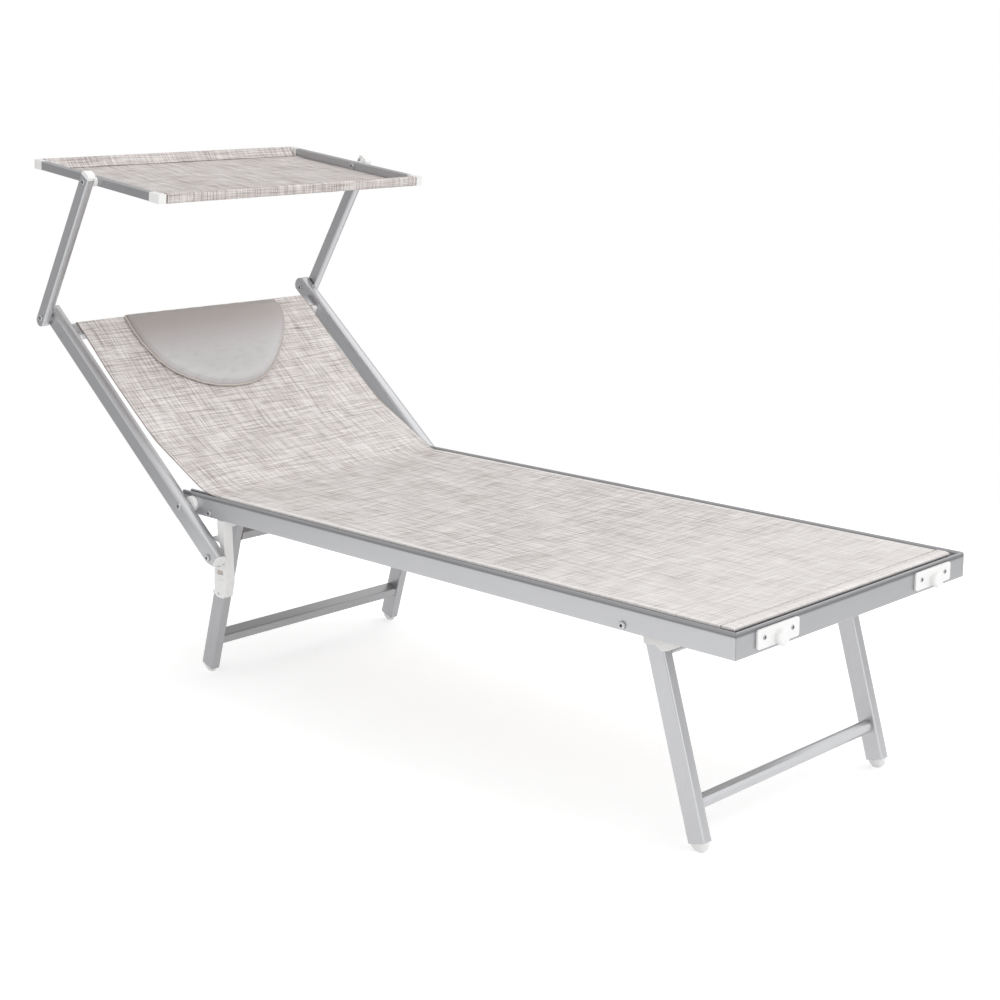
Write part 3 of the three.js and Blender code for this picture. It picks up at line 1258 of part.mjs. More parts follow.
function canopyGroup() {
  const group = new THREE.Group();
  group.name = 'canopy';
  pair(group, 'canopy_side_tube', canopyTube(), METAL);
  pair(group, 'canopy_front_corner', canopyCorner(CANOPY_FRONT, CORNER_FRONT_LONG, -1), WHITE);
  pair(group, 'canopy_rear_corner', canopyCorner(CANOPY_REAR, CORNER_REAR_LONG, 1), OFF_WHITE);
  group.add(piece('canopy_front_bar', canopyBar(CANOPY_FRONT, -1), METAL));
  group.add(piece('canopy_rear_bar', canopyBar(CANOPY_REAR, 1), METAL));
  group.add(piece('canopy_sheet', canopySheet(), CLOTH));
  group.position.set(0, ARM_LENGTH, 0);
  group.rotation.x = radians(CANOPY_ANGLE - ARM_ANGLE);
  return group;
}

function armGroup() {
  const group = new THREE.Group();
  group.name = 'canopy_arms';
  pair(group, 'canopy_arm', armTube(), METAL);
  pair(group, 'arm_cap', armCap(), WHITE);
  pair(group, 'arm_lower_bolt', armLowerBolt(), ZINC);
  pair(group, 'arm_upper_bolt', armUpperBolt(), ZINC);
  group.add(canopyGroup());
  group.position.set(0, ARM_PIVOT_ALONG, ARM_PIVOT_RISE);
  group.rotation.x = radians(ARM_ANGLE - BACK_ANGLE);
  return group;
}

function backGroup() {
  const group = new THREE.Group();
  group.name = 'backrest';
  pair(group, 'back_tube', backTube(), METAL);
  pair(group, 'back_end_cap', backEndCap(), WHITE);
  const catchBolt = bolt(LEG_BOLT, BACK_OUTER + GAP, BACK_INNER - GAP, CATCH_ALONG, CATCH_BELOW);
  pair(group, 'catch_bolt', catchBolt, ZINC);
  group.add(piece('back_top_bar', topBar(), METAL));
  pair(group, 'top_bar_clip', topBarClip(), WHITE);
  group.add(piece('back_sheet', backSheet(), CLOTH));
  group.add(piece('headrest_pillow', headrest(), PAD));
  group.add(armGroup());
  group.position.set(0, BACK_PIVOT_Y, BACK_PIVOT_Z);
  group.rotation.x = radians(BACK_ANGLE);
  return group;
}

const lounger = new THREE.Group();
lounger.name = 'sun_lounger_with_canopy';
lounger.add(bedGroup());
lounger.add(legFrame(FRONT_LEGS));
lounger.add(legFrame(REAR_LEGS));
lounger.add(backGroup());
lounger.position.y = -BODY_CENTRE_Y;

export default lounger;
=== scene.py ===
"""Looks of the folding sun lounger with a canopy: cloths, pillow, metal and plastic finishes, studio."""
import json
import math

import bpy
import numpy as np
from mathutils import Matrix, Vector


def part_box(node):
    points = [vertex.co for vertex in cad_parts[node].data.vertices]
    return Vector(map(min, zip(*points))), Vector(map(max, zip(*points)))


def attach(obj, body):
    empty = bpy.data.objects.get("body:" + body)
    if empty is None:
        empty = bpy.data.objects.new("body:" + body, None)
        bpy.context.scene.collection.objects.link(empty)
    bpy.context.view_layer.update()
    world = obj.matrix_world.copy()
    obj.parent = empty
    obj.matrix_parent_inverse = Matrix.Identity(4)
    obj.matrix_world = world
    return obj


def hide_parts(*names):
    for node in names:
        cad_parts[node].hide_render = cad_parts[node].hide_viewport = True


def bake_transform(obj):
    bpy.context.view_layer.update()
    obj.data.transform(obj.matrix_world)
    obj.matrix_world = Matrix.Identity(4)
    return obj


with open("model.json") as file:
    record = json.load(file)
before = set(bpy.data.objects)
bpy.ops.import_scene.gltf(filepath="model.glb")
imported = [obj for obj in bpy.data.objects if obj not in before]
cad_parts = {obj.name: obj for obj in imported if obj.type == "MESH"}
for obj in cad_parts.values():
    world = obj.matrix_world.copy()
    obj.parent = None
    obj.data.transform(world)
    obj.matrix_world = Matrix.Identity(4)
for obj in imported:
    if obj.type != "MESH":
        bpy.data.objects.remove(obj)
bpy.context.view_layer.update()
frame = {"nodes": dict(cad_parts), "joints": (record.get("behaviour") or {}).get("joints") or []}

MM = 0.001
FULL_TURN = 2 * math.pi

# Places taken from the frame
joints = {joint["name"]: joint["pos_m"] for joint in frame["joints"]}
BACK_PIVOT = joints["backrest_recline"]
CANOPY_PIVOT = joints["canopy_tilt"]
BACK_TURN = math.radians(39.1)
ARM_TURN = math.radians(124.4)
CANOPY_TURN = math.radians(7.1)
FRONT_LEG_TURN = math.radians(106.2)
REAR_LEG_TURN = math.radians(71.5)
RAIL_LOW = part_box("side_rail_left")[0]
RACK_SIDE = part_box("recline_rack_right")[1].x
SEAT_LOW, SEAT_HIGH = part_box("seat_sheet")
SEAT_LENGTH = SEAT_HIGH.y - SEAT_LOW.y

# Sling sizes
CLOTH_THICK = 1.2 * MM
HALF_CLOTH = CLOTH_THICK / 2
FIT = 0.3 * MM
LIP_TOP = RAIL_LOW.z + 41.3 * MM + HALF_CLOTH
GROOVE = RAIL_LOW.z + 37.8 * MM
# Height of the groove under the rail's bead, where shade is painted
GROOVE_SHADE_LINE = RAIL_LOW.z + 37 * MM
SEAT_HALF = 291.9 * MM
SEAT_SAG_HALF = 283 * MM
FREE_HALF = 299.5 * MM
FLAT_HALF = 297.5 * MM
FLAT_MIDDLE = 286 * MM
FLAT_EDGE = tuple(x * MM for x in (288.5, 290.2, 290.9, 291.4, 291.9, 292.6, 294.5, 297.5))
EDGE_TURN = 1.3 * MM
EDGE_PUCKER = 0.5 * MM
EDGE_PUCKER_REACH = 5.5 * MM
EDGE_PUCKER_PITCH = 10.5 * MM
SEAT_ROW = 3.2 * MM
SEAT_ROWS_FROM = 43 * MM
SEAT_SAG = 5 * MM
SEAT_SHARES = ((0, 0), (0.007, 0), (0.03, 0.3), (0.1, 0.8), (0.25, 1), (0.75, 1), (0.93, 0.8), (1, 0.6))
SEAT_ROWS_TO = SEAT_HIGH.y - 17 * MM

# Foot hem sizes
FOOT_ROUND = ((0, 1.6 * MM), (0.35 * MM, 0.5 * MM), (1.3 * MM, 0))
FOOT_HEM = 26 * MM
HEM_SEAM = FOOT_HEM + 1.5 * MM
HEM_START = 5 * MM
HEM_STEP = 0.9 * MM
HEM_STEP_OVER = 4 * MM
HEM_DIP = 0.8 * MM
HEM_DIP_WIDE = 2.2 * MM
HEM_PUCKER = 0.55 * MM
HEM_PUCKER_SIZE = 17 * MM
HEM_PUCKER_GROWS = 8 * MM
HEM_PUCKER_FADE = 9 * MM
HEM_GROWS_OVER = 3 * MM
HEM_ROW = 2.5 * MM
HEM_ROWS_FROM, HEM_ROWS_TO = 4 * MM, 40 * MM

# Back cloth sizes, along the tubes from the pivot and up from them
BACK_LOW = 4 * MM
BACK_LOW_RISE = 31 * MM
BACK_ROW = 7 * MM
BAR_LOW = 481 * MM
BAR_HIGH = 514.5 * MM
BAR_FRONT = -5.5 * MM
BAR_BACK = -25 * MM
BAR_RETURN = 28 * MM
BAR_ROUND = 3.6 * MM
BAR_CLEAR = 4 * MM
BAR_TOP_ROWS = (3.5 * MM, 7.5 * MM)
BACK_SHARES = (
    (0, 1), (0.02, 0.946), (0.072, 0.768), (0.144, 0.526), (0.218, 0.281), (0.29, 0.042), (0.362, -0.16),
    (0.494, -0.258), (0.627, -0.306), (0.765, -0.32), (0.9, -0.22),
)
BACK_CROSS_SAG = 3.5 * MM
SAG_STARTS_OVER, SAG_ENDS_OVER = 120 * MM, 200 * MM
UPPER_PULL, UPPER_PULL_SIZE = 0.35 * MM, 42 * MM
UPPER_PULL_FROM, UPPER_PULL_OVER = 330 * MM, 150 * MM
LOWER_PULL, LOWER_PULL_SIZE = 0.6 * MM, 95 * MM
LOWER_PULL_FROM, LOWER_PULL_TO, LOWER_PULL_OVER = 20 * MM, 160 * MM, 120 * MM
PULL_FADE = 30 * MM
BRIDGE_LANDS = 22 * MM
BLEND_END = 44 * MM

# Canopy sizes
CANOPY_FRONT = -216 * MM
CANOPY_REAR = 228 * MM
CANOPY_BAR_DEEP = 11 * MM
CANOPY_BAR_HIGH = 15.6 * MM
CANOPY_BAR_BACK = 1.6 * MM
CANOPY_SAG = 2.5 * MM
CANOPY_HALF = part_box("canopy_sheet")[1].x + 1.4 * MM
CANOPY_ROW = 6 * MM
CANOPY_EDGE = (0.985, 0.994, 1)
FRONT_BAR = CANOPY_FRONT + CANOPY_BAR_BACK + CANOPY_BAR_DEEP / 2
REAR_BAR = CANOPY_REAR - CANOPY_BAR_BACK - CANOPY_BAR_DEEP / 2
CANOPY_ROWS_TO = REAR_BAR - 3 * MM
SLEEVE_DEEP = CANOPY_BAR_DEEP / 2 + FIT + HALF_CLOTH
SLEEVE_HIGH = CANOPY_BAR_HIGH / 2 + FIT + HALF_CLOTH
SLEEVE_ROUND = 3 * MM
SLEEVE_FLAT = 2.4 * MM
SLEEVE_TAIL = 15 * MM
SLEEVE_PULL = 0.35 * MM
FRONT_PULL_SIZE, REAR_PULL_SIZE = 16 * MM, 10 * MM
TAIL_RISE = 1.4 * MM
PANEL_WIDENS = 4 * MM
CORNER_CLEAR = 34 * MM
WIDENS_OVER = 14 * MM
PANEL_WAVE = 0.5 * MM
FRONT_WAVE_SIZE, REAR_WAVE_SIZE = 26 * MM, 21 * MM
WAVE_REACH = 30 * MM
WAVE_TOP = 0.15 * MM

# Stitch sizes
STITCH_PITCH = 4.2 * MM
STITCH_LONG = 2.9 * MM
THREAD_RADIUS = 0.38 * MM
THREAD_SIDES = 6
HEM_SEAM_HALF = 286 * MM
WRAP_SEAM_HALF = 296 * MM
HEM_SEAM_ROWS = (0.2 * MM, -5.2 * MM)
TURN_LOSS = 4.5 * MM
SEAM_IN = 3 * MM
WRAP_SEAM_IN = 4 * MM

# Pillow sizes
PILLOW_TOP = 510.5 * MM
PILLOW_THICK = 32 * MM
PILLOW_EDGE = 8 * MM
PILLOW_RAMP = 32 * MM
PILLOW_GAP = 0.7 * MM
PILLOW_PUCKER = 0.5 * MM
PUCKER_REACH = 0.07
WIDE_PULLS, FINE_PULLS, FOLDS = 23, 37, 41
PULL_SHARE = 0.006
PIPING_OUT, PIPING_UP = 1.004, 0.52
PILLOW_WAVE, PILLOW_WAVE_SIZE = 0.5 * MM, 120 * MM
PILLOW_CENTRE = (5 * MM, 95 * MM)
PILLOW_ROUND = tuple((x * MM, down * MM) for x, down in (
    (210, 5), (208, 40), (191, 80), (160, 123), (121, 164), (79, 199), (33, 221), (-15, 227), (-56, 222),
    (-92, 210), (-123, 190), (-150, 165), (-171, 128), (-184, 80), (-187, 35), (-184, 0),
))
UNDER_SHARES = ((0.2, 0), (0.5, 0), (0.75, 0), (0.9, 0), (0.965, 0.12), (0.99, 0.35), (1, 0.5))
SEAM_RING = (0.985, 0.68, 0.01)
CROWN_SHARES = (
    0.985, 0.97, 0.95, 0.925, 0.9, 0.87, 0.83, 0.78, 0.72, 0.65, 0.57, 0.48, 0.38, 0.27, 0.16, 0.08,
)
TOP_STEPS, ROUND_STEPS = 34, 84
PIPING_RADIUS = 2.6 * MM
PIPING_SIDES = 10

# Screw sizes
SCREW_OUT = 34.5 * MM
SCREW_UP = 23 * MM
SCREW_HEAD = 4.1 * MM
SCREW_SOCKET = 2.1 * MM
BOLT_SOCKET = 2.7 * MM

# Grain sizes
YARN_PITCH = 1.3 * MM
LINE_GAP = 0.6 * MM
GRAIN_SIZE = 0.9 * MM
STREAK_SLANT = math.radians(37)
LINE_DEPTH, PEEL_DEPTH, BLOOM_DEPTH = 0.08 * MM, 0.1 * MM, 0.06 * MM
WEAVE_DEPTH, PEBBLE_DEPTH, TWIST_DEPTH = 0.22 * MM, 0.25 * MM, 0.2 * MM
WELD_GAP, EDGE_WIDTH, EDGE_ANGLE = 0.01 * MM, 0.35 * MM, math.radians(32)

# Where marks fade in or out, from and to
# Heights over which the painted shade in the rail's groove fades in and out
GROOVE_SHADE_BELOW, GROOVE_SHADE_ABOVE = (-4 * MM, 0), (1.2 * MM, 4 * MM)
POCKET_SUNK, POCKET_DEEP = (0.8 * MM, 2.6 * MM), (5 * MM, 9 * MM)
CUT_FADE, HEM_LINE_FADE = (1 * MM, 1.8 * MM), (1 * MM, 2.4 * MM)
RIM_FADE = (SEAT_HALF - 12 * MM, SEAT_HALF - 2 * MM)
RIM_END = (SEAT_LENGTH - 60 * MM, SEAT_LENGTH)
# The sling's slubs fade towards its foot: painted light
HEM_END, LIT_FOOT_FADE = (FOOT_HEM, FOOT_HEM + 4 * MM), (FOOT_HEM, 700 * MM)
# Pillow painted from taupe to pale down its face: painted light and shade
PILLOW_LIGHT_FADE = (50 * MM, 170 * MM)

# Colours
# One anodised aluminium throughout; the darker tones of the canopy tubes, rear legs, rear crossbars and foot
# rail are painted shade
RAIL_TONE = LEG_TONE = (0.57, 0.573, 0.588)
BACK_TONE = (0.56, 0.563, 0.578)
CANOPY_TUBE_SHADED_TONE = (0.47, 0.472, 0.485)
REAR_LEG_SHADED_TONE = (0.42, 0.42, 0.432)
REAR_CROSS_SHADED_TONE = (0.38, 0.38, 0.388)
FOOT_SHADED_TONE = (0.44, 0.443, 0.455)
WHITE, WHITE_SHADE = (0.88, 0.88, 0.875), (0.83, 0.827, 0.82)
OFF_WHITE, OFF_WHITE_SHADE = (0.85, 0.843, 0.83), (0.74, 0.715, 0.68)
RACK_WHITE, RACK_SHADE = (0.89, 0.888, 0.88), (0.85, 0.842, 0.828)
# Beige painted shade on the floors of the rack's pockets
POCKET_PAINTED_SHADE = (0.5, 0.425, 0.36)
# Zinc of the screw heads; black painted shade in the screws' and bolts' sockets
SCREW_ZINC, SOCKET_PAINTED_SHADE = (0.42, 0.42, 0.43), (0.06, 0.06, 0.065)
ZINC_DARK, ZINC_LIGHT, BOLT_SOCKET_PAINTED_SHADE = (0.4, 0.405, 0.415), (0.74, 0.745, 0.755), (0.035, 0.035, 0.04)
SLING_TONES = ((0.96, 0.932, 0.918), (0.29, 0.245, 0.226), (0.72, 0.635, 0.6))
CANOPY_TONES = ((0.83, 0.796, 0.778), (0.21, 0.165, 0.152), (0.57, 0.475, 0.445))
HEM_BEIGE = (0.4, 0.315, 0.28)
# Brown of the cut edge, darkened as painted shade of the gap beside it
CUT_BROWN_AND_SHADE = (0.2, 0.125, 0.105)
PILLOW_TAUPE, PILLOW_PAINTED_PALE, PILLOW_SOILED = (0.44, 0.399, 0.386), (0.59, 0.577, 0.582), (0.42, 0.393, 0.38)
PIPING_BEIGE = (0.6, 0.55, 0.51)
THREAD_BEIGE = (0.62, 0.55, 0.51)

# Light
BACKLIGHT = 0.7
MIRRORED_LOW, MIRRORED_HIGH = (0.15, 0.48), (0.65, 0.8)
FLOOR_GLOW = 0.4
FLOOR_RADIUS, FLOOR_Y = 2.2, -0.5
FLOOR_GREY, FLOOR_PALE = (0.85, 0.85, 0.85), (0.88, 0.88, 0.88)
LAMPS = (
    ("key", (0.62, -0.3, 0.72), 1.0, 85), ("side", (-0.95, -0.15, 0.35), 0.25, 50),
    ("front", (-0.25, -0.93, 0.15), 0.75, 50),
)

# Camera, solved from the photograph
CAMERA_LENS = 65.382
CAMERA_SHIFT = (-0.00167, 0.00498)
CAMERA_PLACE = (-2.323663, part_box("foot_rail")[0].y - 1.55504, 1.203442)
CAMERA_RIGHT = Vector((0.7088945, -0.7052084, -0.0122347))
CAMERA_UP = Vector((0.173907, 0.1579525, 0.972012))
CAMERA_AHEAD = Vector((0.6835385, 0.6911817, -0.2346124))


def smooth(x):
    """Runs from 0 to 1 without a kink as x runs from 0 to 1."""
    x = min(1.0, max(0.0, x))
    return x * x * (3 - 2 * x)


def eased(t, first, leaves, last, lands):
    """Value at t of the curve between two values that leaves and lands with the given slopes."""
    t2, t3 = t * t, t * t * t
    return ((2 * t3 - 3 * t2 + 1) * first + (t3 - 2 * t2 + t) * leaves
            + (3 * t2 - 2 * t3) * last + (t3 - t2) * lands)


def through(points, x):
    """Height at x of the smooth curve through the points, which are in order."""
    xs, ys = zip(*points)
    if x <= xs[0]:
        return ys[0]
    if x >= xs[-1]:
        return ys[-1]
    i = max(k for k in range(len(xs) - 1) if xs[k] <= x)

    def slope(k):
        before, after = max(k - 1, 0), min(k + 1, len(xs) - 1)
        return (ys[after] - ys[before]) / (xs[after] - xs[before])

    wide = xs[i + 1] - xs[i]
    return eased((x - xs[i]) / wide, ys[i], slope(i) * wide, ys[i + 1], slope(i + 1) * wide)


def places_on(pivot, turn):
    """Way to place points of a body: across, along its tubes from the pivot, and up from them."""
    c, s = math.cos(turn), math.sin(turn)
    return lambda x, along, up: Vector((x, pivot[1] + along * c - up * s, pivot[2] + along * s + up * c))


back_place = places_on(BACK_PIVOT, BACK_TURN)
canopy_place = places_on(CANOPY_PIVOT, CANOPY_TURN)


def upward(place):
    """Direction in which a body's places rise."""
    return place(0, 0, 1) - place(0, 0, 0)


def back_rise(along):
    """How far the middle of the back cloth stands up from the line through the pivot."""
    flat = BAR_FRONT + FIT
    if along >= BAR_LOW:
        return flat + HALF_CLOTH
    share = (along - BACK_LOW) / (BAR_LOW - BACK_LOW)
    points = [(t, rise * BACK_LOW_RISE) for t, rise in BACK_SHARES] + [(1, flat)]
    return through(points, share) + HALF_CLOTH


def back_cross_sag(along):
    """How far the middle of the back cloth hangs below its edges."""
    starts = smooth((along - BACK_LOW) / SAG_STARTS_OVER)
    ends = smooth((BAR_LOW - along) / SAG_ENDS_OVER)
    return BACK_CROSS_SAG * starts * ends


# Node trees

class Nodes:
    """Short ways to add and join the nodes of one tree."""

    def __init__(self, tree):
        self.tree = tree

    def add(self, kind, **settings):
        node = self.tree.nodes.new(kind)
        for name, value in settings.items():
            setattr(node, name, value)
        return node

    def put(self, value, socket):
        if isinstance(value, bpy.types.NodeSocket):
            self.tree.links.new(value, socket)
        else:
            socket.default_value = value

    def math(self, operation, *values):
        node = self.add("ShaderNodeMath", operation=operation)
        for value, socket in zip(values, node.inputs):
            self.put(value, socket)
        return node.outputs[0]

    def times(self, first, second):
        return self.math("MULTIPLY", first, second)

    def scaled(self, vector, scale):
        node = self.add("ShaderNodeVectorMath", operation="MULTIPLY")
        self.put(vector, node.inputs[0])
        self.put(scale, node.inputs[1])
        return node.outputs[0]

    def noise(self, vector, detail=2.0, rough=0.5, scale=1.0):
        node = self.add("ShaderNodeTexNoise")
        self.put(vector, node.inputs["Vector"])
        self.put(scale, node.inputs["Scale"])
        node.inputs["Detail"].default_value = detail
        node.inputs["Roughness"].default_value = rough
        return node.outputs[0]

    def spread(self, value, low, high, new_low=0.0, new_high=1.0):
        node = self.add("ShaderNodeMapRange", interpolation_type="SMOOTHSTEP")
        for number, socket in zip((value, low, high, new_low, new_high), node.inputs):
            self.put(number, socket)
        return node.outputs[0]

    def place(self, kind="Object"):
        return self.add("ShaderNodeTexCoord").outputs[kind]

    def apart(self, vector):
        node = self.add("ShaderNodeSeparateXYZ")
        self.put(vector, node.inputs[0])
        return node.outputs

    def mix(self, share, first, second):
        node = self.add("ShaderNodeMix", data_type="RGBA")
        self.put(share, node.inputs[0])
        self.put(first, node.inputs[6])
        self.put(second, node.inputs[7])
        return node.outputs[2]

    def bump(self, height, strength, distance):
        node = self.add("ShaderNodeBump")
        self.put(height, node.inputs["Height"])
        node.inputs["Strength"].default_value = strength
        node.inputs["Distance"].default_value = distance
        return node.outputs[0]


EFFECTS = {}


def effect(name, vectors, numbers, gives):
    """Empty node group with its inputs and the numbers that it gives, ready to fill."""
    tree = bpy.data.node_groups.new(name, "ShaderNodeTree")
    new = tree.interface.new_socket
    for label in vectors:
        new(label, in_out="INPUT", socket_type="NodeSocketVector")
    for label, value in numbers.items():
        new(label, in_out="INPUT", socket_type="NodeSocketFloat").default_value = value
    for label in gives:
        new(label, in_out="OUTPUT", socket_type="NodeSocketFloat")
    EFFECTS[name] = tree
    nodes = Nodes(tree)
    start = nodes.add("NodeGroupInput").outputs
    end = nodes.add("NodeGroupOutput").inputs
    return nodes, start, end


def slub_weave():
    """Crossing yarns of uneven thickness, a warm tint and the weave's height."""
    nodes, start, end = effect(
        "Slub weave", ["Cloth"], {"Yarn Pitch": YARN_PITCH, "Along Share": 0.5}, ["Slub", "Tint", "Height"])
    cloth = start["Cloth"]

    def streaks(long, fine, detail):
        """Streaks that start and end out of step, as the noise's own grid lies slanting to them."""
        slanting = nodes.add("ShaderNodeVectorRotate", rotation_type="Z_AXIS")
        nodes.put(nodes.scaled(cloth, (long, fine, 1)), slanting.inputs["Vector"])
        slanting.inputs["Angle"].default_value = STREAK_SLANT
        return nodes.noise(slanting.outputs[0], detail, 0.6)

    def yarns(thick, thin):
        """Dark share of thick and thin yarns that run the same way."""
        return nodes.math("ADD", nodes.spread(thick, 0.47, 0.61), nodes.spread(thin, 0.48, 0.62, 0.0, 0.8))

    dark_across = yarns(streaks(7, 470, 2.0), streaks(16, 900, 1.0))
    dark_along = yarns(streaks(470, 7, 2.0), streaks(900, 15, 1.0))
    share = start["Along Share"]
    rest = nodes.times(dark_across, nodes.math("SUBTRACT", 1.0, share))
    slub = nodes.math("ADD", nodes.times(dark_along, share), rest)
    patch = nodes.spread(nodes.noise(cloth, 2.0, 0.5, 14.0), 0.3, 0.7, 0.9, 1.1)
    nodes.put(nodes.times(slub, patch), end["Slub"])
    nodes.put(nodes.spread(streaks(9, 210, 2.0), 0.42, 0.72), end["Tint"])
    place = nodes.apart(cloth)
    turn = nodes.math("DIVIDE", math.pi, start["Yarn Pitch"])
    waves = [nodes.math("SINE", nodes.times(place[k], turn)) for k in range(2)]
    basket = nodes.times(waves[0], waves[1])
    uneven = nodes.math("SUBTRACT", nodes.times(basket, 0.5), nodes.times(slub, 0.5))
    nodes.put(uneven, end["Height"])


def drawn_grain():
    """Fine lines along a drawn tube, with faint handling marks."""
    nodes, start, end = effect("Drawn grain", ["Place"], {"Line Gap": LINE_GAP}, ["Line", "Mark", "Height"])
    many = nodes.math("DIVIDE", 1.0, start["Line Gap"])
    scale = nodes.add("ShaderNodeCombineXYZ")
    nodes.put(many, scale.inputs[0])
    scale.inputs[1].default_value = 5.0
    nodes.put(many, scale.inputs[2])
    line = nodes.noise(nodes.scaled(start["Place"], scale.outputs[0]), 3.0, 0.6)
    nodes.put(line, end["Line"])
    mark = nodes.noise(start["Place"], 5.0, 0.62, 11.0)
    speck = nodes.noise(start["Place"], 3.0, 0.7, 160.0)
    worn = nodes.spread(mark, 0.35, 0.75)
    nodes.put(nodes.times(worn, nodes.spread(speck, 0.3, 0.8, 0.6, 1.0)), end["Mark"])
    nodes.put(line, end["Height"])


def moulded_grain():
    """Faint orange peel of a moulded part and the slight clouding of its colour."""
    nodes, start, end = effect("Moulded grain", ["Place"], {"Grain Size": GRAIN_SIZE}, ["Cloud", "Height"])
    many = nodes.math("DIVIDE", 1.0, start["Grain Size"])
    nodes.put(nodes.noise(start["Place"], 2.0, 0.5, many), end["Height"])
    nodes.put(nodes.noise(start["Place"], 4.0, 0.6, 40.0), end["Cloud"])


def round_spot():
    """Round patch about an axis, soft at its rim; the axis has the direction left out of Plane."""
    nodes, start, end = effect("Round spot", ["Place", "Centre", "Plane"], {"Radius": SCREW_HEAD}, ["Mask"])
    offset = nodes.add("ShaderNodeVectorMath", operation="SUBTRACT")
    nodes.put(start["Place"], offset.inputs[0])
    nodes.put(start["Centre"], offset.inputs[1])
    far = nodes.add("ShaderNodeVectorMath", operation="LENGTH")
    nodes.put(nodes.scaled(offset.outputs[0], start["Plane"]), far.inputs[0])
    share = nodes.math("DIVIDE", far.outputs["Value"], start["Radius"])
    nodes.put(nodes.spread(share, 0.85, 1.1, 1.0, 0.0), end["Mask"])


def paint_groove_shade():
    """Painted shade in the groove under a rail's bead, fading out over the bead."""
    nodes, start, end = effect("Groove painted shade", ["Place"], {"Groove": GROOVE_SHADE_LINE}, ["Dust"])
    up = nodes.math("SUBTRACT", nodes.apart(start["Place"])[2], start["Groove"])
    below, above = nodes.spread(up, *GROOVE_SHADE_BELOW), nodes.spread(up, *GROOVE_SHADE_ABOVE, 1.0, 0.35)
    nodes.put(nodes.times(below, above), end["Dust"])


def fine_noise(name, gives, detail, rough, fineness):
    """One fine noise, as the uneven bloom of zinc plating or the twist of a cord."""
    nodes, start, end = effect(name, ["Place"], {"Fineness": fineness}, [gives])
    nodes.put(nodes.noise(start["Place"], detail, rough, start["Fineness"]), end[gives])


def cut_edge():
    """Strip along the cut edges of a cloth: a brown selvedge, partly painted shade of the gap beside it."""
    nodes, start, end = effect("Cut edge", ["Cloth"], {"Half Width": FLAT_HALF}, ["Cut"])
    out = nodes.math("ABSOLUTE", nodes.apart(start["Cloth"])[0])
    left = nodes.math("SUBTRACT", start["Half Width"], out)
    nodes.put(nodes.spread(left, *CUT_FADE, 1.0, 0.0), end["Cut"])


for fill in (slub_weave, drawn_grain, moulded_grain, round_spot, paint_groove_shade, cut_edge):
    fill()
fine_noise("Zinc bloom", "Bloom", 4.0, 0.6, 700.0)
fine_noise("Cord twist", "Twist", 2.0, 0.5, 900.0)


def blank(name):
    """Material with only its output and shader, and its nodes."""
    material = bpy.data.materials.new(name)
    material.use_nodes = True
    nodes = Nodes(material.node_tree)
    shader = material.node_tree.nodes["Principled BSDF"]
    return material, nodes, shader


def placed(nodes, kind, **values):
    """The effect's group as a node, with its values set."""
    node = nodes.add("ShaderNodeGroup", node_tree=EFFECTS[kind])
    for name, value in values.items():
        nodes.put(value, node.inputs[name.replace("_", " ")])
    return node.outputs


def finished(material, base, rough, relief):
    """The material with its colour, roughness and relief put in place."""
    nodes = Nodes(material.node_tree)
    inputs = material.node_tree.nodes["Principled BSDF"].inputs
    for name, value in (("Base Color", base), ("Roughness", rough), ("Normal", relief)):
        nodes.put(value, inputs[name])
    return material


def tinted(tone, share=1.0):
    """The tone made lighter or darker, as a colour."""
    return tuple(min(1.0, t * share) for t in tone) + (1,)


def tube_finish(name, tone, grain_turn, across=False, groove=None):
    """Satin anodised tube whose drawn lines run along it, darkened by painted shade where it has a groove."""
    material, nodes, shader = blank(name)
    place = nodes.place()
    turned = nodes.add("ShaderNodeMapping")
    nodes.put(place, turned.inputs["Vector"])
    turned.inputs["Rotation"].default_value = (-grain_turn, 0, math.pi / 2 if across else 0)
    grain = placed(nodes, "Drawn grain", Place=turned.outputs[0], Line_Gap=LINE_GAP)
    base = nodes.mix(nodes.spread(grain["Line"], 0.3, 0.7), tinted(tone, 0.955), tinted(tone, 1.035))
    marked = nodes.mix(nodes.times(grain["Mark"], 0.16), base, tinted(tone, 0.82))
    if groove is not None:
        # Painted shade darkens the groove under the rail's bead
        painted_shade = placed(nodes, "Groove painted shade", Place=place, Groove=groove)["Dust"]
        marked = nodes.mix(nodes.times(painted_shade, 0.75), marked, tinted(tone, 0.36))
    shader.inputs["Metallic"].default_value = 0.84
    rough = nodes.spread(grain["Line"], 0.2, 0.8, 0.28, 0.4)
    return finished(material, marked, rough, nodes.bump(grain["Height"], 0.12, LINE_DEPTH))


def paint_pocket_shade(nodes, place, base):
    """Base colour with beige painted shade on the floors of the rack's pockets."""
    deep = nodes.math("SUBTRACT", RACK_SIDE, nodes.math("ABSOLUTE", nodes.apart(place)[0]))
    sunk, deepest = nodes.spread(deep, *POCKET_SUNK), nodes.spread(deep, *POCKET_DEEP, 0.75, 0.2)
    facing = nodes.apart(nodes.add("ShaderNodeNewGeometry").outputs["Normal"])[0]
    floor = nodes.spread(nodes.math("ABSOLUTE", facing), 0.6, 0.9)
    painted_shade = nodes.times(nodes.times(sunk, deepest), floor)
    return nodes.mix(painted_shade, base, tinted(POCKET_PAINTED_SHADE))


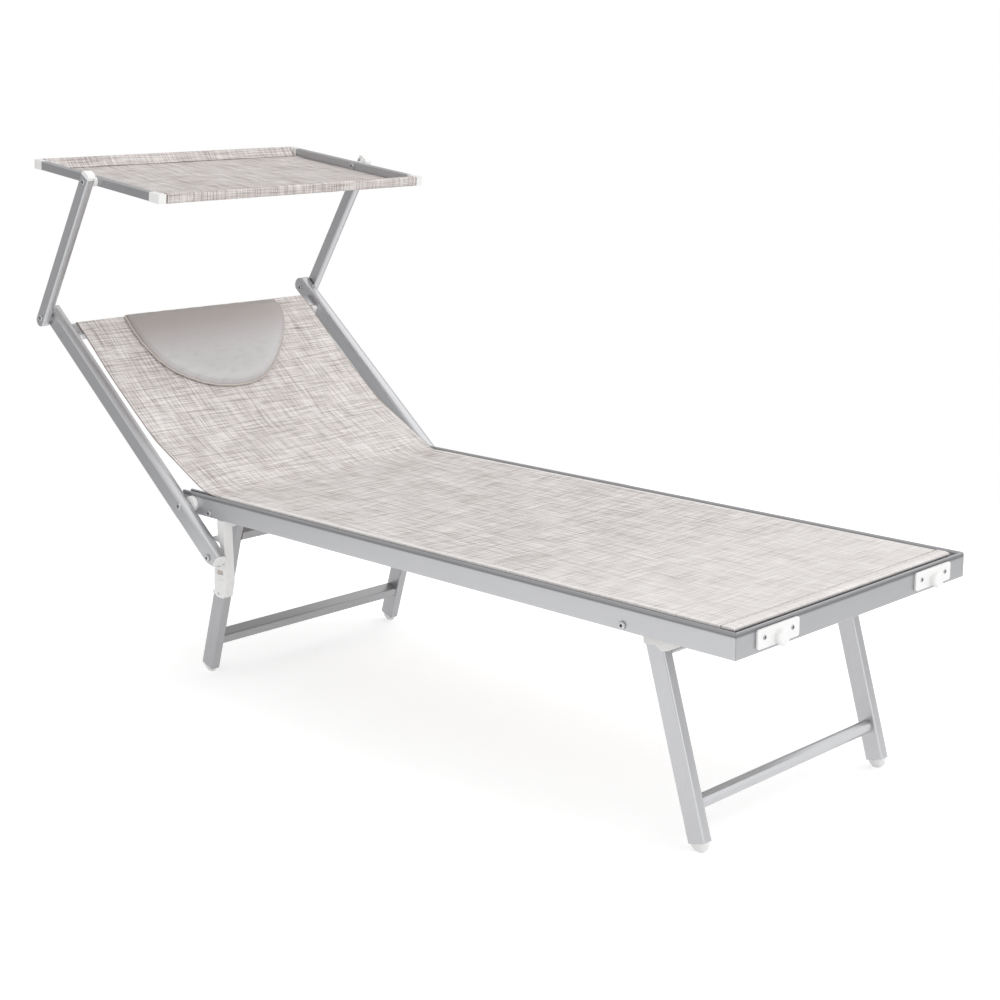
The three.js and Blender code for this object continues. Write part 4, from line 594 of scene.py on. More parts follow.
def plastic_finish(name, tone, shade, screws=(), pockets=False):
    """Moulded plastic with a faint grain and clouding, and, if it has them, screws with painted shade in
    their sockets and painted shade on the floors of its pockets.
    """
    material, nodes, _ = blank(name)
    place = nodes.place()
    grain = placed(nodes, "Moulded grain", Place=place, Grain_Size=GRAIN_SIZE)
    base = nodes.mix(nodes.spread(grain["Cloud"], 0.35, 0.75, 0.0, 0.5), tinted(tone), tinted(shade))
    if pockets:
        # Painted shade on the pocket floors
        base = paint_pocket_shade(nodes, place, base)
    for centre in screws:
        # Zinc screw heads, with black painted shade in their sockets
        for radius, colour in ((SCREW_HEAD, SCREW_ZINC), (SCREW_SOCKET, SOCKET_PAINTED_SHADE)):
            spot = placed(nodes, "Round spot", Place=place, Centre=centre, Plane=(1, 0, 1), Radius=radius)
            base = nodes.mix(spot["Mask"], base, tinted(colour))
    rough = nodes.spread(grain["Cloud"], 0.3, 0.7, 0.38, 0.48)
    return finished(material, base, rough, nodes.bump(grain["Height"], 0.15, PEEL_DEPTH))


def fainter_slub(nodes, out, run, slub):
    """The sling's slubs, fainter along its rolled rims and on its hem, and fainter towards its foot as
    painted light.
    """
    rim = nodes.spread(out, *RIM_FADE)
    rim = nodes.times(rim, nodes.spread(run, *RIM_END, 1.0, 0.0))
    rim = nodes.math("MAXIMUM", rim, nodes.spread(run, *HEM_END, 0.75, 0.0))
    # Painted light: paler towards the foot
    rim = nodes.math("MAXIMUM", rim, nodes.spread(run, *LIT_FOOT_FADE, 0.55, 0.0))
    return nodes.times(slub, nodes.math("SUBTRACT", 1.0, nodes.times(rim, 0.75)))


def cloth_finish(name, tones, along_share, strength, edge, hemmed=False):
    """Coated mesh with slubs and a brown cut edge that is partly painted shade; if hemmed, with pale rims, a
    beige hem line and painted light towards the foot.
    """
    material, nodes, shader = blank(name)
    cloth = nodes.add("ShaderNodeUVMap", uv_map="cloth").outputs[0]
    weave = placed(nodes, "Slub weave", Cloth=cloth, Yarn_Pitch=YARN_PITCH, Along_Share=along_share)
    light, dark, warm = (tinted(tone) for tone in tones)
    base = nodes.mix(nodes.times(weave["Tint"], 0.32), light, warm)
    slub = nodes.times(weave["Slub"], strength)
    if hemmed:
        across, run, _ = nodes.apart(cloth)
        slub = fainter_slub(nodes, nodes.math("ABSOLUTE", across), run, slub)
    slubbed = nodes.mix(slub, base, dark)
    if hemmed:
        near = nodes.math("ABSOLUTE", nodes.math("SUBTRACT", run, HEM_SEAM))
        slubbed = nodes.mix(nodes.spread(near, *HEM_LINE_FADE, 0.8, 0.0), slubbed, tinted(HEM_BEIGE))
    cut = placed(nodes, "Cut edge", Cloth=cloth, Half_Width=edge)["Cut"]
    # The brown cut edge is a selvedge with painted shade of the gap beside it
    edged = nodes.mix(nodes.times(cut, 0.7), slubbed, tinted(CUT_BROWN_AND_SHADE))
    shader.inputs["Specular IOR Level"].default_value = 0.3
    rough = nodes.spread(weave["Slub"], 0.0, 1.0, 0.55, 0.68)
    return finished(material, edged, rough, nodes.bump(weave["Height"], 0.5, WEAVE_DEPTH))


def leather_finish():
    """Leather look cover: fine pebbles and creases, painted light and shade from taupe at its straight top to
    paler towards its round side.
    """
    material, nodes, _ = blank("Taupe leather look")
    place = nodes.add("ShaderNodeUVMap", uv_map="cloth").outputs[0]
    cells = nodes.add("ShaderNodeTexVoronoi", feature="DISTANCE_TO_EDGE")
    nodes.put(place, cells.inputs["Vector"])
    cells.inputs["Scale"].default_value = 620.0
    crease = nodes.noise(nodes.scaled(place, (38, 90, 1)), 4.0, 0.6)
    down = nodes.math("ADD", nodes.apart(place)[1], nodes.times(crease, 30 * MM))
    # Painted light and shade: taupe at the top, paler lower down
    base = nodes.mix(nodes.spread(down, *PILLOW_LIGHT_FADE), tinted(PILLOW_TAUPE), tinted(PILLOW_PAINTED_PALE))
    soiled = nodes.mix(nodes.spread(crease, 0.45, 0.8, 0.0, 0.35), base, tinted(PILLOW_SOILED))
    rough = nodes.spread(crease, 0.3, 0.7, 0.4, 0.52)
    pebble = nodes.spread(cells.outputs["Distance"], 0.0, 0.25)
    pebble = nodes.math("ADD", pebble, nodes.times(crease, 0.6))
    return finished(material, soiled, rough, nodes.bump(pebble, 0.3, PEBBLE_DEPTH))


def plain_cord_finish(name, tone):
    """Sewing thread or piping: tone with a twist in it."""
    material, nodes, _ = blank(name)
    twist = placed(nodes, "Cord twist", Place=nodes.place())["Twist"]
    base = nodes.mix(twist, tinted(tone, 0.8), tinted(tone))
    rough = nodes.spread(twist, 0.3, 0.7, 0.5, 0.65)
    return finished(material, base, rough, nodes.bump(twist, 0.3, TWIST_DEPTH))


def own_place(name, point):
    """Point of the scene in the coordinates of the named solid."""
    return tuple(frame["nodes"][name].matrix_world.inverted() @ point)


def bolt_finish(kind):
    """Zinc plated bolts of one kind: bright, slightly blotched, with painted shade in the sockets on their
    common axis.
    """
    material, nodes, shader = blank("Zinc plated " + kind.replace("_", " "))
    low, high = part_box(kind + "_left")
    centre = own_place(kind + "_left", (low + high) / 2)
    place = nodes.place()
    bloom = placed(nodes, "Zinc bloom", Place=place)["Bloom"]
    plated = nodes.mix(bloom, tinted(ZINC_DARK), tinted(ZINC_LIGHT))
    spot = placed(nodes, "Round spot", Place=place, Centre=centre, Plane=(0, 1, 1), Radius=BOLT_SOCKET)
    # Black painted shade in the socket
    base = nodes.mix(spot["Mask"], plated, tinted(BOLT_SOCKET_PAINTED_SHADE))
    nodes.put(nodes.spread(spot["Mask"], 0.0, 1.0, 0.9, 0.2), shader.inputs["Metallic"])
    rough = nodes.spread(bloom, 0.3, 0.7, 0.22, 0.4)
    return finished(material, base, rough, nodes.bump(bloom, 0.2, BLOOM_DEPTH))


def plate_screws(side):
    """Places of the two screws of one foot plate."""
    name = "foot_plate_" + side
    low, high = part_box(name)
    xs = [(low.x + high.x) / 2 + out for out in (-SCREW_OUT, SCREW_OUT)]
    return [own_place(name, Vector((x, low.y, RAIL_LOW.z + SCREW_UP))) for x in xs]


SCREWS = plate_screws("left") + plate_screws("right")
FINISHES = {
    "rail": tube_finish("Satin rail", RAIL_TONE, 0, groove=GROOVE_SHADE_LINE),
    "foot": tube_finish("Satin foot rail", FOOT_SHADED_TONE, 0, across=True, groove=GROOVE_SHADE_LINE),
    "back": tube_finish("Satin back tube", BACK_TONE, BACK_TURN),
    "arm": tube_finish("Satin arm", BACK_TONE, ARM_TURN),
    "canopy": tube_finish("Satin canopy tube", CANOPY_TUBE_SHADED_TONE, CANOPY_TURN),
    "front_leg": tube_finish("Satin front leg", LEG_TONE, FRONT_LEG_TURN),
    "rear_leg": tube_finish("Satin rear leg", REAR_LEG_SHADED_TONE, REAR_LEG_TURN),
    "cross": tube_finish("Satin crossbar", LEG_TONE, 0, across=True),
    "rear_cross": tube_finish("Satin rear crossbar", REAR_CROSS_SHADED_TONE, 0, across=True),
    "white": plastic_finish("White plastic", WHITE, WHITE_SHADE),
    "plate": plastic_finish("White plate", WHITE, WHITE_SHADE, screws=SCREWS),
    "off_white": plastic_finish("Off white plastic", OFF_WHITE, OFF_WHITE_SHADE),
    "rack": plastic_finish("White rack", RACK_WHITE, RACK_SHADE, pockets=True),
    "sling": cloth_finish("Sling mesh", SLING_TONES, 0.5, 0.76, FLAT_HALF, hemmed=True),
    "canopy_cloth": cloth_finish("Canopy mesh", CANOPY_TONES, 0.55, 0.7, CANOPY_HALF),
    "leather": leather_finish(),
    "piping": plain_cord_finish("Beige piping", PIPING_BEIGE),
    "thread": plain_cord_finish("Beige thread", THREAD_BEIGE),
}
BOLTS = (
    "front_leg_bolt", "rear_leg_bolt", "back_pivot_bolt", "catch_bolt", "arm_lower_bolt", "arm_upper_bolt",
)
FINISHES.update({kind: bolt_finish(kind) for kind in BOLTS})

FINISH_OF = (
    ("rail", "side_rail"), ("foot", "foot_rail"), ("rack", "recline_rack"), ("plate", "foot_plate"),
    ("off_white", "rail_plug", "front_hinge_block", "canopy_rear_corner"),
    ("white", "back_pivot_disc", "front_foot_cap", "rear_foot_cap", "back_end_cap", "arm_cap", "top_bar_clip",
     "canopy_front_corner"),
    *((kind, kind) for kind in (*BOLTS, "front_leg", "rear_leg")),
    ("back", "back_tube"), ("arm", "canopy_arm"), ("canopy", "canopy_side_tube"),
    ("cross", "front_lower_crossbar", "front_upper_crossbar", "back_top_bar", "canopy_front_bar",
     "canopy_rear_bar"),
    ("rear_cross", "rear_lower_crossbar", "rear_upper_crossbar"),
)


def finish_frame():
    """Gives every solid its finish and breaks its edges a little."""
    for name, node in frame["nodes"].items():
        kind = next((finish for finish, *starts in FINISH_OF if name.startswith(tuple(starts))), None)
        if kind is None:
            continue
        node.data.materials.clear()
        node.data.materials.append(FINISHES[kind])
        weld = node.modifiers.new("weld", "WELD")
        weld.merge_threshold = WELD_GAP
        edge = node.modifiers.new("edge", "BEVEL")
        edge.width = EDGE_WIDTH
        edge.segments = 2
        edge.limit_method = "ANGLE"
        edge.angle_limit = EDGE_ANGLE
        node.modifiers.new("flat faces", "WEIGHTED_NORMAL").keep_sharp = True


# Mesh making

def mesh_piece(name, points, faces, finish, flat=None):
    """Smooth shaded mesh object with its cloth coordinates."""
    mesh = bpy.data.meshes.new(name)
    mesh.from_pydata([tuple(p) for p in points], [], faces)
    if flat is not None:
        layer = mesh.uv_layers.new(name="cloth")
        loops = np.zeros(len(mesh.loops), np.int32)
        mesh.loops.foreach_get("vertex_index", loops)
        layer.data.foreach_set("uv", np.array(flat, float)[loops].astype(np.float32).ravel())
    mesh.polygons.foreach_set("use_smooth", [True] * len(mesh.polygons))
    mesh.materials.append(FINISHES[finish])
    piece = bpy.data.objects.new(name, mesh)
    bpy.context.scene.collection.objects.link(piece)
    return piece


def grid_faces(rows, count, ring=False, closed=False):
    """Quads between rows of points; ring closes each row, closed joins the last row to the first."""
    faces = []
    for r in range(rows if closed else rows - 1):
        low, high = r * count, (r + 1) % rows * count
        for c in range(count if ring else count - 1):
            d = (c + 1) % count
            faces.append((low + c, low + d, high + d, high + c))
    return faces


def cloth_piece(name, rows, across, run, finish):
    """Cloth of even thickness through a grid of points, with its flat distances across and along."""
    points = [p for row in rows for p in row]
    flat = [(u, at) for at in run for u in across]
    piece = mesh_piece(name, points, grid_faces(len(rows), len(across)), finish, flat)
    body = piece.modifiers.new("body", "SOLIDIFY")
    body.thickness = CLOTH_THICK
    body.offset = 0
    body.use_even_offset = True
    bpy.context.view_layer.update()
    graph = bpy.context.evaluated_depsgraph_get()
    done = piece.evaluated_get(graph)
    made = bpy.data.meshes.new_from_object(done, preserve_all_data_layers=True, depsgraph=graph)
    piece.modifiers.clear()
    piece.data = made
    return piece


def lengths(path):
    """Distance along a path at each of its points."""
    total = [0.0]
    for a, b in zip(path, path[1:]):
        total.append(total[-1] + math.dist(a, b))
    return total


def bend(centre, radius, first, last, steps):
    """Points of an arc, its angles in degrees."""
    turns = np.radians(np.linspace(first, last, steps))
    return [(centre[0] + radius * math.cos(t), centre[1] + radius * math.sin(t)) for t in turns]


def ripple(x, seed, size):
    """Small smooth unevenness along x, the same each time."""
    return sum(math.sin(x * FULL_TURN / (size * k) + seed * k * 1.7) / k for k in (1, 1.6, 2.7)) / 2


def normal_at(path, i):
    """Direction square to a path of 2-D points at its point i."""
    (a, b), (c, d) = path[max(i - 1, 0)], path[min(i + 1, len(path) - 1)]
    far = math.hypot(c - a, d - b)
    return (b - d) / far, (c - a) / far


def both_ways(half):
    """Distances on both sides of the middle from those on one side."""
    return np.concatenate([-half[:0:-1], half])


# Sling

def seat_stations():
    """Rows of the seat: (y, z, share of the sag)."""
    foot = SEAT_LOW.y + HALF_CLOTH
    rows = [(foot, GROOVE, 0)] + [(foot + out, LIP_TOP - down, 0) for out, down in FOOT_ROUND]
    places = list(np.arange(foot + HEM_ROWS_FROM, foot + HEM_ROWS_TO, HEM_ROW))
    places += list(np.arange(foot + SEAT_ROWS_FROM, SEAT_ROWS_TO, SEAT_ROW))
    return rows + [(y, LIP_TOP, through(SEAT_SHARES, (y - SEAT_LOW.y) / SEAT_LENGTH)) for y in places]


def back_stations():
    """Rows of the back up to the top bar and round it: (along, rise)."""
    places = list(np.arange(BRIDGE_LANDS, BAR_LOW - BAR_CLEAR, BACK_ROW)) + [BAR_LOW]
    rows = [(along, back_rise(along)) for along in places]
    high = BAR_HIGH + FIT + HALF_CLOTH
    front, back = BAR_FRONT + FIT + HALF_CLOTH, BAR_BACK - FIT - HALF_CLOTH
    inner = high - BAR_ROUND
    rows += [(along, front) for along in np.linspace(BAR_LOW + BACK_ROW, inner - BAR_CLEAR + 1 * MM, 4)]
    rows += bend((inner, front - BAR_ROUND), BAR_ROUND, 90, 0, 6)
    rows += [(high, front - BAR_ROUND - down) for down in BAR_TOP_ROWS]
    rows += bend((inner, back + BAR_ROUND), BAR_ROUND, 0, -90, 6)
    rows += [(along, back) for along in np.linspace(inner - BAR_CLEAR, BAR_HIGH - BAR_RETURN, 4)]
    return rows


def bridge(start, leaves, end, lands, steps):
    """Inner points of a curve between two points that leaves and lands along the given directions."""
    span = math.hypot(end[0] - start[0], end[1] - start[1])
    points = []
    for i in range(1, steps):
        points.append(tuple(
            eased(i / steps, start[k], leaves[k] * span, end[k], lands[k] * span) for k in (0, 1)))
    return points


def seat_sag(share, u):
    """How far the seat hangs at u across."""
    return share * SEAT_SAG * (1 - (u / SEAT_SAG_HALF) ** 2)


def edge_turn(u):
    """How far out a point of the seat lies, and how far it is turned down into the rail."""
    straight = SEAT_HALF - EDGE_TURN
    turned = max(0.0, abs(u) - straight)
    angle = min(turned / EDGE_TURN, math.pi / 2)
    drop = EDGE_TURN * (1 - math.cos(angle)) + max(0.0, turned - EDGE_TURN * math.pi / 2)
    return min(abs(u), straight) + EDGE_TURN * math.sin(angle), min(drop, LIP_TOP - GROOVE)


def sling_point(station, u, run, high):
    """Place across and lift of a point of the sling."""
    part, first, done = station
    seat_x, drop = edge_turn(u)
    side = abs(u) / FLAT_HALF
    if part == "seat":
        x = seat_x
        lift = hem_lift(u, run) + edge_pucker(u, run) - seat_sag(first, min(abs(u), SEAT_SAG_HALF))
        if high > LIP_TOP - FIT:
            lift -= drop
    elif part == "bridge":
        share = smooth(done * 1.2)
        x = seat_x * (1 - share) + FREE_HALF * side * share
        lift = -first * SEAT_SAG * (1 - side ** 2) - drop * (1 - share)
    else:
        x = FREE_HALF * side
        lift = back_drag(u, first) - back_cross_sag(first) * (1 - side ** 2)
    return math.copysign(x, u), lift


def sling():
    """The one cloth of seat and back: held in the rails and wrapped round the top bar."""
    seat, back = seat_stations(), back_stations()
    place = [(y, z) for y, z, _ in seat]
    stations = [("seat", sag, 0) for _, _, sag in seat]
    landing, after = back_place(0, *back[0]).yz, back_place(0, *back[1]).yz
    gap = bridge(place[-1], (1, 0), landing, (after - landing).normalized(), 12)
    last_sag = through(SEAT_SHARES, 1)
    for i, point in enumerate(gap, 1):
        done = i / (len(gap) + 1)
        place.append(point)
        stations.append(("bridge", last_sag * (1 - done), done))
    for along, rise in back:
        place.append(tuple(back_place(0, along, rise).yz))
        stations.append(("back", along, 1))
    run = lengths(place)
    across = both_ways(np.concatenate([np.linspace(0, FLAT_MIDDLE, 49), FLAT_EDGE]))
    rows = []
    for i, (y, z) in enumerate(place):
        out = normal_at(place, i)
        points = [sling_point(stations[i], u, run[i], z) for u in across]
        rows.append([Vector((x, y + out[0] * lift, z + out[1] * lift)) for x, lift in points])
    return cloth_piece("sling_cloth", rows, across, run, "sling"), run[-1]


def hem_lift(u, run):
    """The folded hem at the foot end: a step at its seam and small puckers across it."""
    if run < HEM_START:
        return 0.0
    step = HEM_STEP * (1 - smooth((run - FOOT_HEM) / HEM_STEP_OVER))
    dip = HEM_DIP * math.exp(-((run - HEM_SEAM) / HEM_DIP_WIDE) ** 2)
    fade = math.exp(-max(0.0, run - FOOT_HEM) / HEM_PUCKER_FADE)
    fade *= smooth((run - HEM_START) / HEM_PUCKER_GROWS)
    pucker = HEM_PUCKER * ripple(u, 1.3, HEM_PUCKER_SIZE)
    return (step - dip) * smooth((run - HEM_START) / HEM_GROWS_OVER) + pucker * fade


def edge_pucker(u, run):
    """Small slanting puckers of the seat where it turns down into the rail."""
    out = abs(u) - SEAT_SAG_HALF
    near = math.exp(-(out / EDGE_PUCKER_REACH) ** 2)
    turn = (run + out * 1.1) / EDGE_PUCKER_PITCH * FULL_TURN
    return EDGE_PUCKER * near * math.sin(turn + 1.5 * math.sin(run * 31))


def back_drag(u, along):
    """Slight pulls in the back cloth below the bar and above the hinge."""
    high = smooth((along - UPPER_PULL_FROM) / UPPER_PULL_OVER) * smooth((BAR_LOW - along) / PULL_FADE)
    low = smooth((LOWER_PULL_TO - along) / LOWER_PULL_OVER) * smooth((along - LOWER_PULL_FROM) / PULL_FADE)
    upper = UPPER_PULL * ripple(u, 0.6, UPPER_PULL_SIZE)
    lower = LOWER_PULL * ripple(u + along * 0.6, 2.1, LOWER_PULL_SIZE)
    return upper * high + lower * low


# Canopy cloth

def canopy_panel(along):
    """Height of the canopy panel, which hangs from the undersides of its bars, over the side tubes' line."""
    start, end = FRONT_BAR + SLEEVE_DEEP, REAR_BAR - SLEEVE_DEEP
    share = min(1.0, max(0.0, (along - start) / (end - start)))
    return -SLEEVE_HIGH - CANOPY_SAG * (1 - (2 * share - 1) ** 2)


def sleeve_path(bar, side):
    """A sleeve's way from its seam on the panel slanting up to its bar and round it to the underside."""
    foot, foot_rise = -SLEEVE_DEEP - SLEEVE_TAIL, canopy_panel(bar) + TAIL_RISE
    long, high = SLEEVE_ROUND - SLEEVE_DEEP - foot, SLEEVE_HIGH - foot_rise
    path = [(foot + long * t ** 0.8, foot_rise + high * t ** 1.15) for t in np.linspace(0, 1, 11)]
    inner = SLEEVE_DEEP - SLEEVE_ROUND
    path += bend((inner, SLEEVE_HIGH - SLEEVE_ROUND), SLEEVE_ROUND, 90, 0, 5)
    path += [(SLEEVE_DEEP, rise) for rise in (SLEEVE_FLAT, -SLEEVE_FLAT)]
    path += bend((inner, SLEEVE_ROUND - SLEEVE_HIGH), SLEEVE_ROUND, 0, -90, 5)
    return [(bar + side * along, rise) for along, rise in path]


def panel_widens(along):
    """How much further the panel reaches sideways between the corners than at the bars."""
    front = smooth((along - FRONT_BAR - CORNER_CLEAR) / WIDENS_OVER)
    return PANEL_WIDENS * front * smooth((REAR_BAR - CORNER_CLEAR - along) / WIDENS_OVER)


def canopy_lift(u, along, sleeve):
    """Fine pulls of the canopy cloth round the bars, and faint waves in the panel beside them."""
    if sleeve:
        return -SLEEVE_PULL * (1 + ripple(u, 3.1, REAR_PULL_SIZE if along > 0 else FRONT_PULL_SIZE))
    front = ripple(u, 1.1, FRONT_WAVE_SIZE) * math.exp(-(along - FRONT_BAR) / WAVE_REACH)
    rear = ripple(u, 0.4, REAR_WAVE_SIZE) * math.exp(-(REAR_BAR - along) / WAVE_REACH)
    return min(PANEL_WAVE * (front + rear), WAVE_TOP)


def canopy():
    """Canopy cloth with a sleeve round each bar."""
    front, rear = sleeve_path(FRONT_BAR, -1), sleeve_path(REAR_BAR, 1)[::-1]
    places = np.arange(FRONT_BAR, CANOPY_ROWS_TO, CANOPY_ROW)
    path = front + [(along, canopy_panel(along)) for along in places] + rear
    run = lengths(path)
    across = both_ways(np.concatenate([np.linspace(0, 1, 100)[:-3], CANOPY_EDGE]) * CANOPY_HALF)
    rows = []
    for i, (along, rise) in enumerate(path):
        out = normal_at(path, i)
        from_end = min(i, len(path) - 1 - i)
        sleeve = from_end < len(front)
        wide = 1 + panel_widens(along) / CANOPY_HALF * (not sleeve)
        row = []
        for u in across:
            lift = 0.0 if from_end < 3 else canopy_lift(u, along, sleeve)
            if not sleeve:
                lift += (canopy_panel(FRONT_BAR) - rise) * (u / CANOPY_HALF) ** 6
            row.append(canopy_place(u * wide, along + out[0] * lift, rise + out[1] * lift))
        rows.append(row)
    return cloth_piece("canopy_cloth", rows, across, run, "canopy_cloth"), run[-1]


# Stitches

def stitches(name, line, up):
    """Row of small thread stitches lying along a line of points."""
    points, faces = [], []
    run = lengths(line)
    for k in range(int(run[-1] / STITCH_PITCH)):
        at = (k + 0.5) * STITCH_PITCH
        i = min(int(np.searchsorted(run, at)) - 1, len(line) - 2)
        middle = line[i].lerp(line[i + 1], (at - run[i]) / (run[i + 1] - run[i]))
        forward = (line[i + 1] - line[i]).normalized()
        aside = forward.cross(up).normalized()
        base = len(points)
        points.append(middle - forward * STITCH_LONG / 2)
        points += round_points(middle, aside, up, THREAD_RADIUS, THREAD_SIDES)
        points.append(middle + forward * STITCH_LONG / 2)
        for j in range(THREAD_SIDES):
            a, b = base + 1 + j, base + 1 + (j + 1) % THREAD_SIDES
            faces += [(base, b, a), (base + 1 + THREAD_SIDES, a, b)]
    return mesh_piece(name, points, faces, "thread")


def round_points(middle, aside, up, radius, sides):
    """Points of a ring about its middle."""
    turns = [FULL_TURN * k / sides for k in range(sides)]
    return [middle + (aside * math.cos(turn) + up * math.sin(turn)) * radius for turn in turns]


def seams():
    """Adds the stitch rows of the foot hem, both canopy sleeves and the top bar wrap."""
    made = []
    xs = np.linspace(-1, 1, 120)
    for i, offset in enumerate(HEM_SEAM_ROWS, 1):
        run = FOOT_HEM + offset
        y = SEAT_LOW.y + HALF_CLOTH + run - TURN_LOSS
        share = through(SEAT_SHARES, (y - SEAT_LOW.y) / SEAT_LENGTH)
        line = []
        for x in xs * HEM_SEAM_HALF:
            line.append(Vector((x, y, LIP_TOP + HALF_CLOTH + hem_lift(x, run) - seat_sag(share, x))))
        made.append(("foot_hem_stitches_%d" % i, line, Vector((0, 0, 1)), "bed_frame"))
    reach = SLEEVE_DEEP + SLEEVE_TAIL
    for name, along in (("front", FRONT_BAR + reach), ("rear", REAR_BAR - reach)):
        rise = canopy_panel(along) + TAIL_RISE + HALF_CLOTH
        line = [canopy_place(x, along, rise) for x in np.linspace(-1, 1, 130) * (CANOPY_HALF - SEAM_IN)]
        made.append(("canopy_%s_stitches" % name, line, upward(canopy_place), "canopy"))
    along = BAR_HIGH - BAR_RETURN + WRAP_SEAM_IN
    line = [back_place(x, along, back_rise(along) + HALF_CLOTH) for x in xs * WRAP_SEAM_HALF]
    made.append(("top_wrap_stitches", line, upward(back_place), "backrest"))
    for name, line, up, body in made:
        piece = stitches(name, line, up)
        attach(piece, body)


# Pillow

def pillow_outline():
    """Half moon a little slumped to one side, as (across, down) points: straight top, then the round."""
    right, left = PILLOW_ROUND[0], PILLOW_ROUND[-1]
    tops = np.linspace(0, 1, TOP_STEPS)
    points = [tuple(left[k] + (right[k] - left[k]) * share for k in (0, 1)) for share in tops]
    across, down = ([(i, p[k]) for i, p in enumerate(PILLOW_ROUND)] for k in (0, 1))
    places = np.linspace(0, len(PILLOW_ROUND) - 1, ROUND_STEPS)[1:-1]
    return points + [(through(across, at), through(down, at)) for at in places]


def pillow_top(x):
    """How far the pillow's straight top edge lies below its highest corner."""
    right, left = PILLOW_ROUND[0], PILLOW_ROUND[-1]
    return left[1] + (right[1] - left[1]) * (x - left[0]) / (right[0] - left[0])


def pillow_place(x, down, high):
    """Point of the pillow over the back cloth, which it lies on."""
    along = PILLOW_TOP - down
    sag = back_cross_sag(along) * (1 - (x / FREE_HALF) ** 2)
    return back_place(x, along, back_rise(along) + HALF_CLOTH + PILLOW_GAP - sag + high)


def pillow_edge_in(turn):
    """How far a point of the pillow's edge draws in between the pulls of its seam."""
    return 1 - PULL_SHARE * (1 + math.sin(turn * WIDE_PULLS) * 0.5 + math.sin(turn * FINE_PULLS + 1) * 0.5)


def pillow_point(x, down, turn, share, edge, crown):
    """Point of one of the pillow's rings, and its place on the flat cover."""
    centre = PILLOW_CENTRE
    pull = share * pillow_edge_in(turn)
    across, below = centre[0] + (x - centre[0]) * pull, centre[1] + (down - centre[1]) * pull
    ramp = 0.05 + 0.95 * smooth((below - pillow_top(across)) / PILLOW_RAMP)
    high = edge * PILLOW_EDGE + crown * ramp * (PILLOW_THICK - PILLOW_EDGE)
    if crown > 0:
        folds = math.sin(turn * WIDE_PULLS) + 0.6 * math.sin(turn * FOLDS + 2)
        pucker = math.exp(-((1 - share) / PUCKER_REACH) ** 2) * folds
        high += PILLOW_PUCKER * pucker + PILLOW_WAVE * ripple(across + below, 0.8, PILLOW_WAVE_SIZE) * crown
    return pillow_place(across, max(0.0, below), high), (across, below)


def pillow():
    """Crowned half moon pillow with a seam, small puckers along it and a piping."""
    outline = pillow_outline()
    count = len(outline)
    turns = [i / count * FULL_TURN for i in range(count)]
    rings = [(share, edge, 0) for share, edge in UNDER_SHARES] + [SEAM_RING]
    rings += [(share, 1, (1 - share ** 13) ** 0.55 * (1 - 0.16 * share ** 2)) for share in CROWN_SHARES]
    made = [pillow_point(x, down, turn, *ring) for ring in rings for (x, down), turn in zip(outline, turns)]
    points, flat = [point for point, _ in made], [place for _, place in made]
    last, top = len(points), len(points) - count
    points += [pillow_place(*PILLOW_CENTRE, 0), pillow_place(*PILLOW_CENTRE, PILLOW_THICK)]
    flat += [PILLOW_CENTRE, PILLOW_CENTRE]
    faces = grid_faces(len(rings), count, ring=True)
    for i in range(count):
        j = (i + 1) % count
        faces += [(last, j, i), (last + 1, top + i, top + j)]
    cushion = mesh_piece("pillow_cushion", points, faces, "leather", flat)
    middle = PILLOW_CENTRE[1]
    line = []
    for (x, down), turn in zip(outline, turns):
        pull = pillow_edge_in(turn) * PIPING_OUT
        line.append(pillow_place(x * pull, middle + (down - middle) * pull, PILLOW_EDGE * PIPING_UP))
    return cushion, piping(line)


def piping(line):
    """Round cord that follows a closed line of points."""
    points = []
    for i, p in enumerate(line):
        forward = (line[(i + 1) % len(line)] - line[i - 1]).normalized()
        aside = forward.cross(upward(back_place)).normalized()
        points += round_points(p, aside, aside.cross(forward).normalized(), PIPING_RADIUS, PIPING_SIDES)
    faces = grid_faces(len(line), PIPING_SIDES, ring=True, closed=True)
    return mesh_piece("pillow_piping", points, faces, "piping")


# Put together

def dress():
    """Adds the soft pieces in place of the solids that it hides."""
    bed, bed_length = sling()
    lands = back_place(0, BLEND_END, back_rise(BLEND_END))
    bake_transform(bed)
    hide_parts("seat_sheet", "back_sheet")
    shade, shade_length = canopy()
    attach(shade, "canopy")
    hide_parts("canopy_sheet")
    cushion, cord = pillow()
    for piece in (cushion, cord):
        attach(piece, "backrest")
    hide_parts("headrest_pillow")
    seams()


# Studio

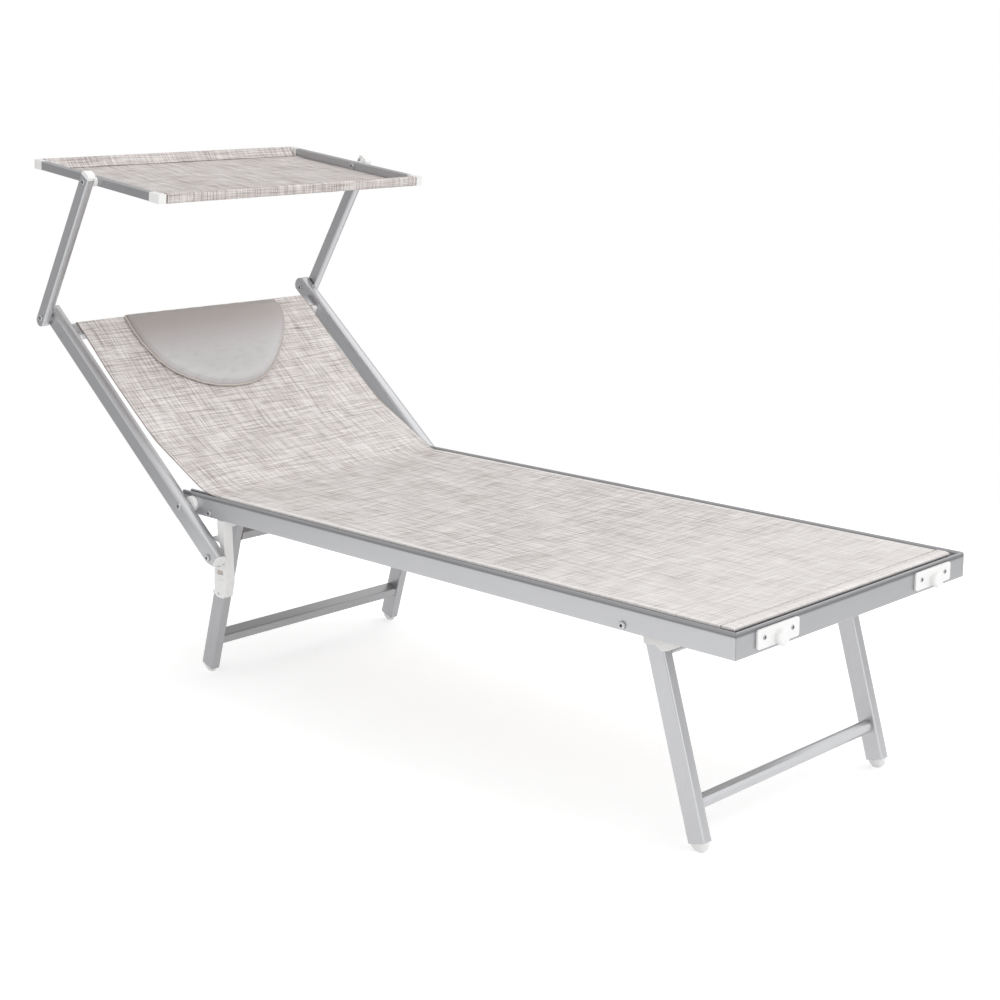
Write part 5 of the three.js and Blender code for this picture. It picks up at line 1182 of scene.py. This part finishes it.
def studio_floor():
    """Pale floor that glows a little to the camera and in mirrors."""
    bpy.ops.mesh.primitive_circle_add(
        vertices=96, radius=FLOOR_RADIUS, fill_type="NGON", location=(0, FLOOR_Y, 0))
    floor = bpy.context.object
    floor.name = "floor"
    material, nodes, shader = blank("Pale floor")
    shader.inputs["Roughness"].default_value = 0.9
    shader.inputs["Specular IOR Level"].default_value = 0.1
    speck = nodes.noise(nodes.place(), 3.0, 0.5, 3.0)
    nodes.put(nodes.mix(speck, tinted(FLOOR_GREY), tinted(FLOOR_PALE)), shader.inputs["Base Color"])
    glow = nodes.add("ShaderNodeEmission")
    seen = nodes.add("ShaderNodeLightPath").outputs
    either = nodes.math("MAXIMUM", seen["Is Camera Ray"], seen["Is Glossy Ray"])
    nodes.put(nodes.times(either, FLOOR_GLOW), glow.inputs["Strength"])
    both = nodes.add("ShaderNodeAddShader")
    for part, socket in zip((shader, glow), both.inputs):
        nodes.put(part.outputs[0], socket)
    nodes.put(both.outputs[0], material.node_tree.nodes["Material Output"].inputs["Surface"])
    floor.data.materials.append(material)


def studio_world():
    """White surround for the camera, dimmer as a light, darker towards the horizon in mirrors."""
    world = bpy.data.worlds.new("Studio")
    bpy.context.scene.world = world
    world.use_nodes = True
    nodes = Nodes(world.node_tree)
    back = world.node_tree.nodes["Background"]
    seen = nodes.add("ShaderNodeLightPath").outputs
    height = nodes.apart(nodes.place("Generated"))[2]
    (low, dark), (high, bright) = MIRRORED_LOW, MIRRORED_HIGH
    room = nodes.math("SUBTRACT", nodes.spread(height, low, high, dark, bright), BACKLIGHT)
    white = nodes.math("MAXIMUM", seen["Is Camera Ray"], seen["Is Transmission Ray"])
    strength = nodes.math("ADD", BACKLIGHT, nodes.times(white, 1 - BACKLIGHT))
    mirrored = nodes.times(seen["Is Glossy Ray"], room)
    nodes.put((1, 1, 1, 1), back.inputs["Color"])
    nodes.put(nodes.math("ADD", strength, mirrored), back.inputs["Strength"])


def lamp(name, towards, strength, spread):
    """Soft distant lamp that shines from the given side."""
    data = bpy.data.lights.new(name, "SUN")
    data.energy = strength
    data.angle = math.radians(spread)
    piece = bpy.data.objects.new(name, data)
    piece.rotation_euler = Vector(towards).to_track_quat("Z", "Y").to_euler()
    bpy.context.scene.collection.objects.link(piece)


def camera():
    """The photograph's camera."""
    data = bpy.data.cameras.new("camera")
    data.sensor_width = 36
    data.lens = CAMERA_LENS
    data.shift_x, data.shift_y = CAMERA_SHIFT
    data.clip_start, data.clip_end = 0.1, 200
    eye = bpy.data.objects.new("camera", data)
    bpy.context.scene.collection.objects.link(eye)
    turn = Matrix((CAMERA_RIGHT, CAMERA_UP, -CAMERA_AHEAD)).transposed().to_4x4()
    eye.matrix_world = Matrix.Translation(CAMERA_PLACE) @ turn
    bpy.context.scene.camera = eye


finish_frame()
dress()
studio_floor()
studio_world()
for setting in LAMPS:
    lamp(*setting)
camera()
bpy.context.scene.view_settings.view_transform = "Standard"
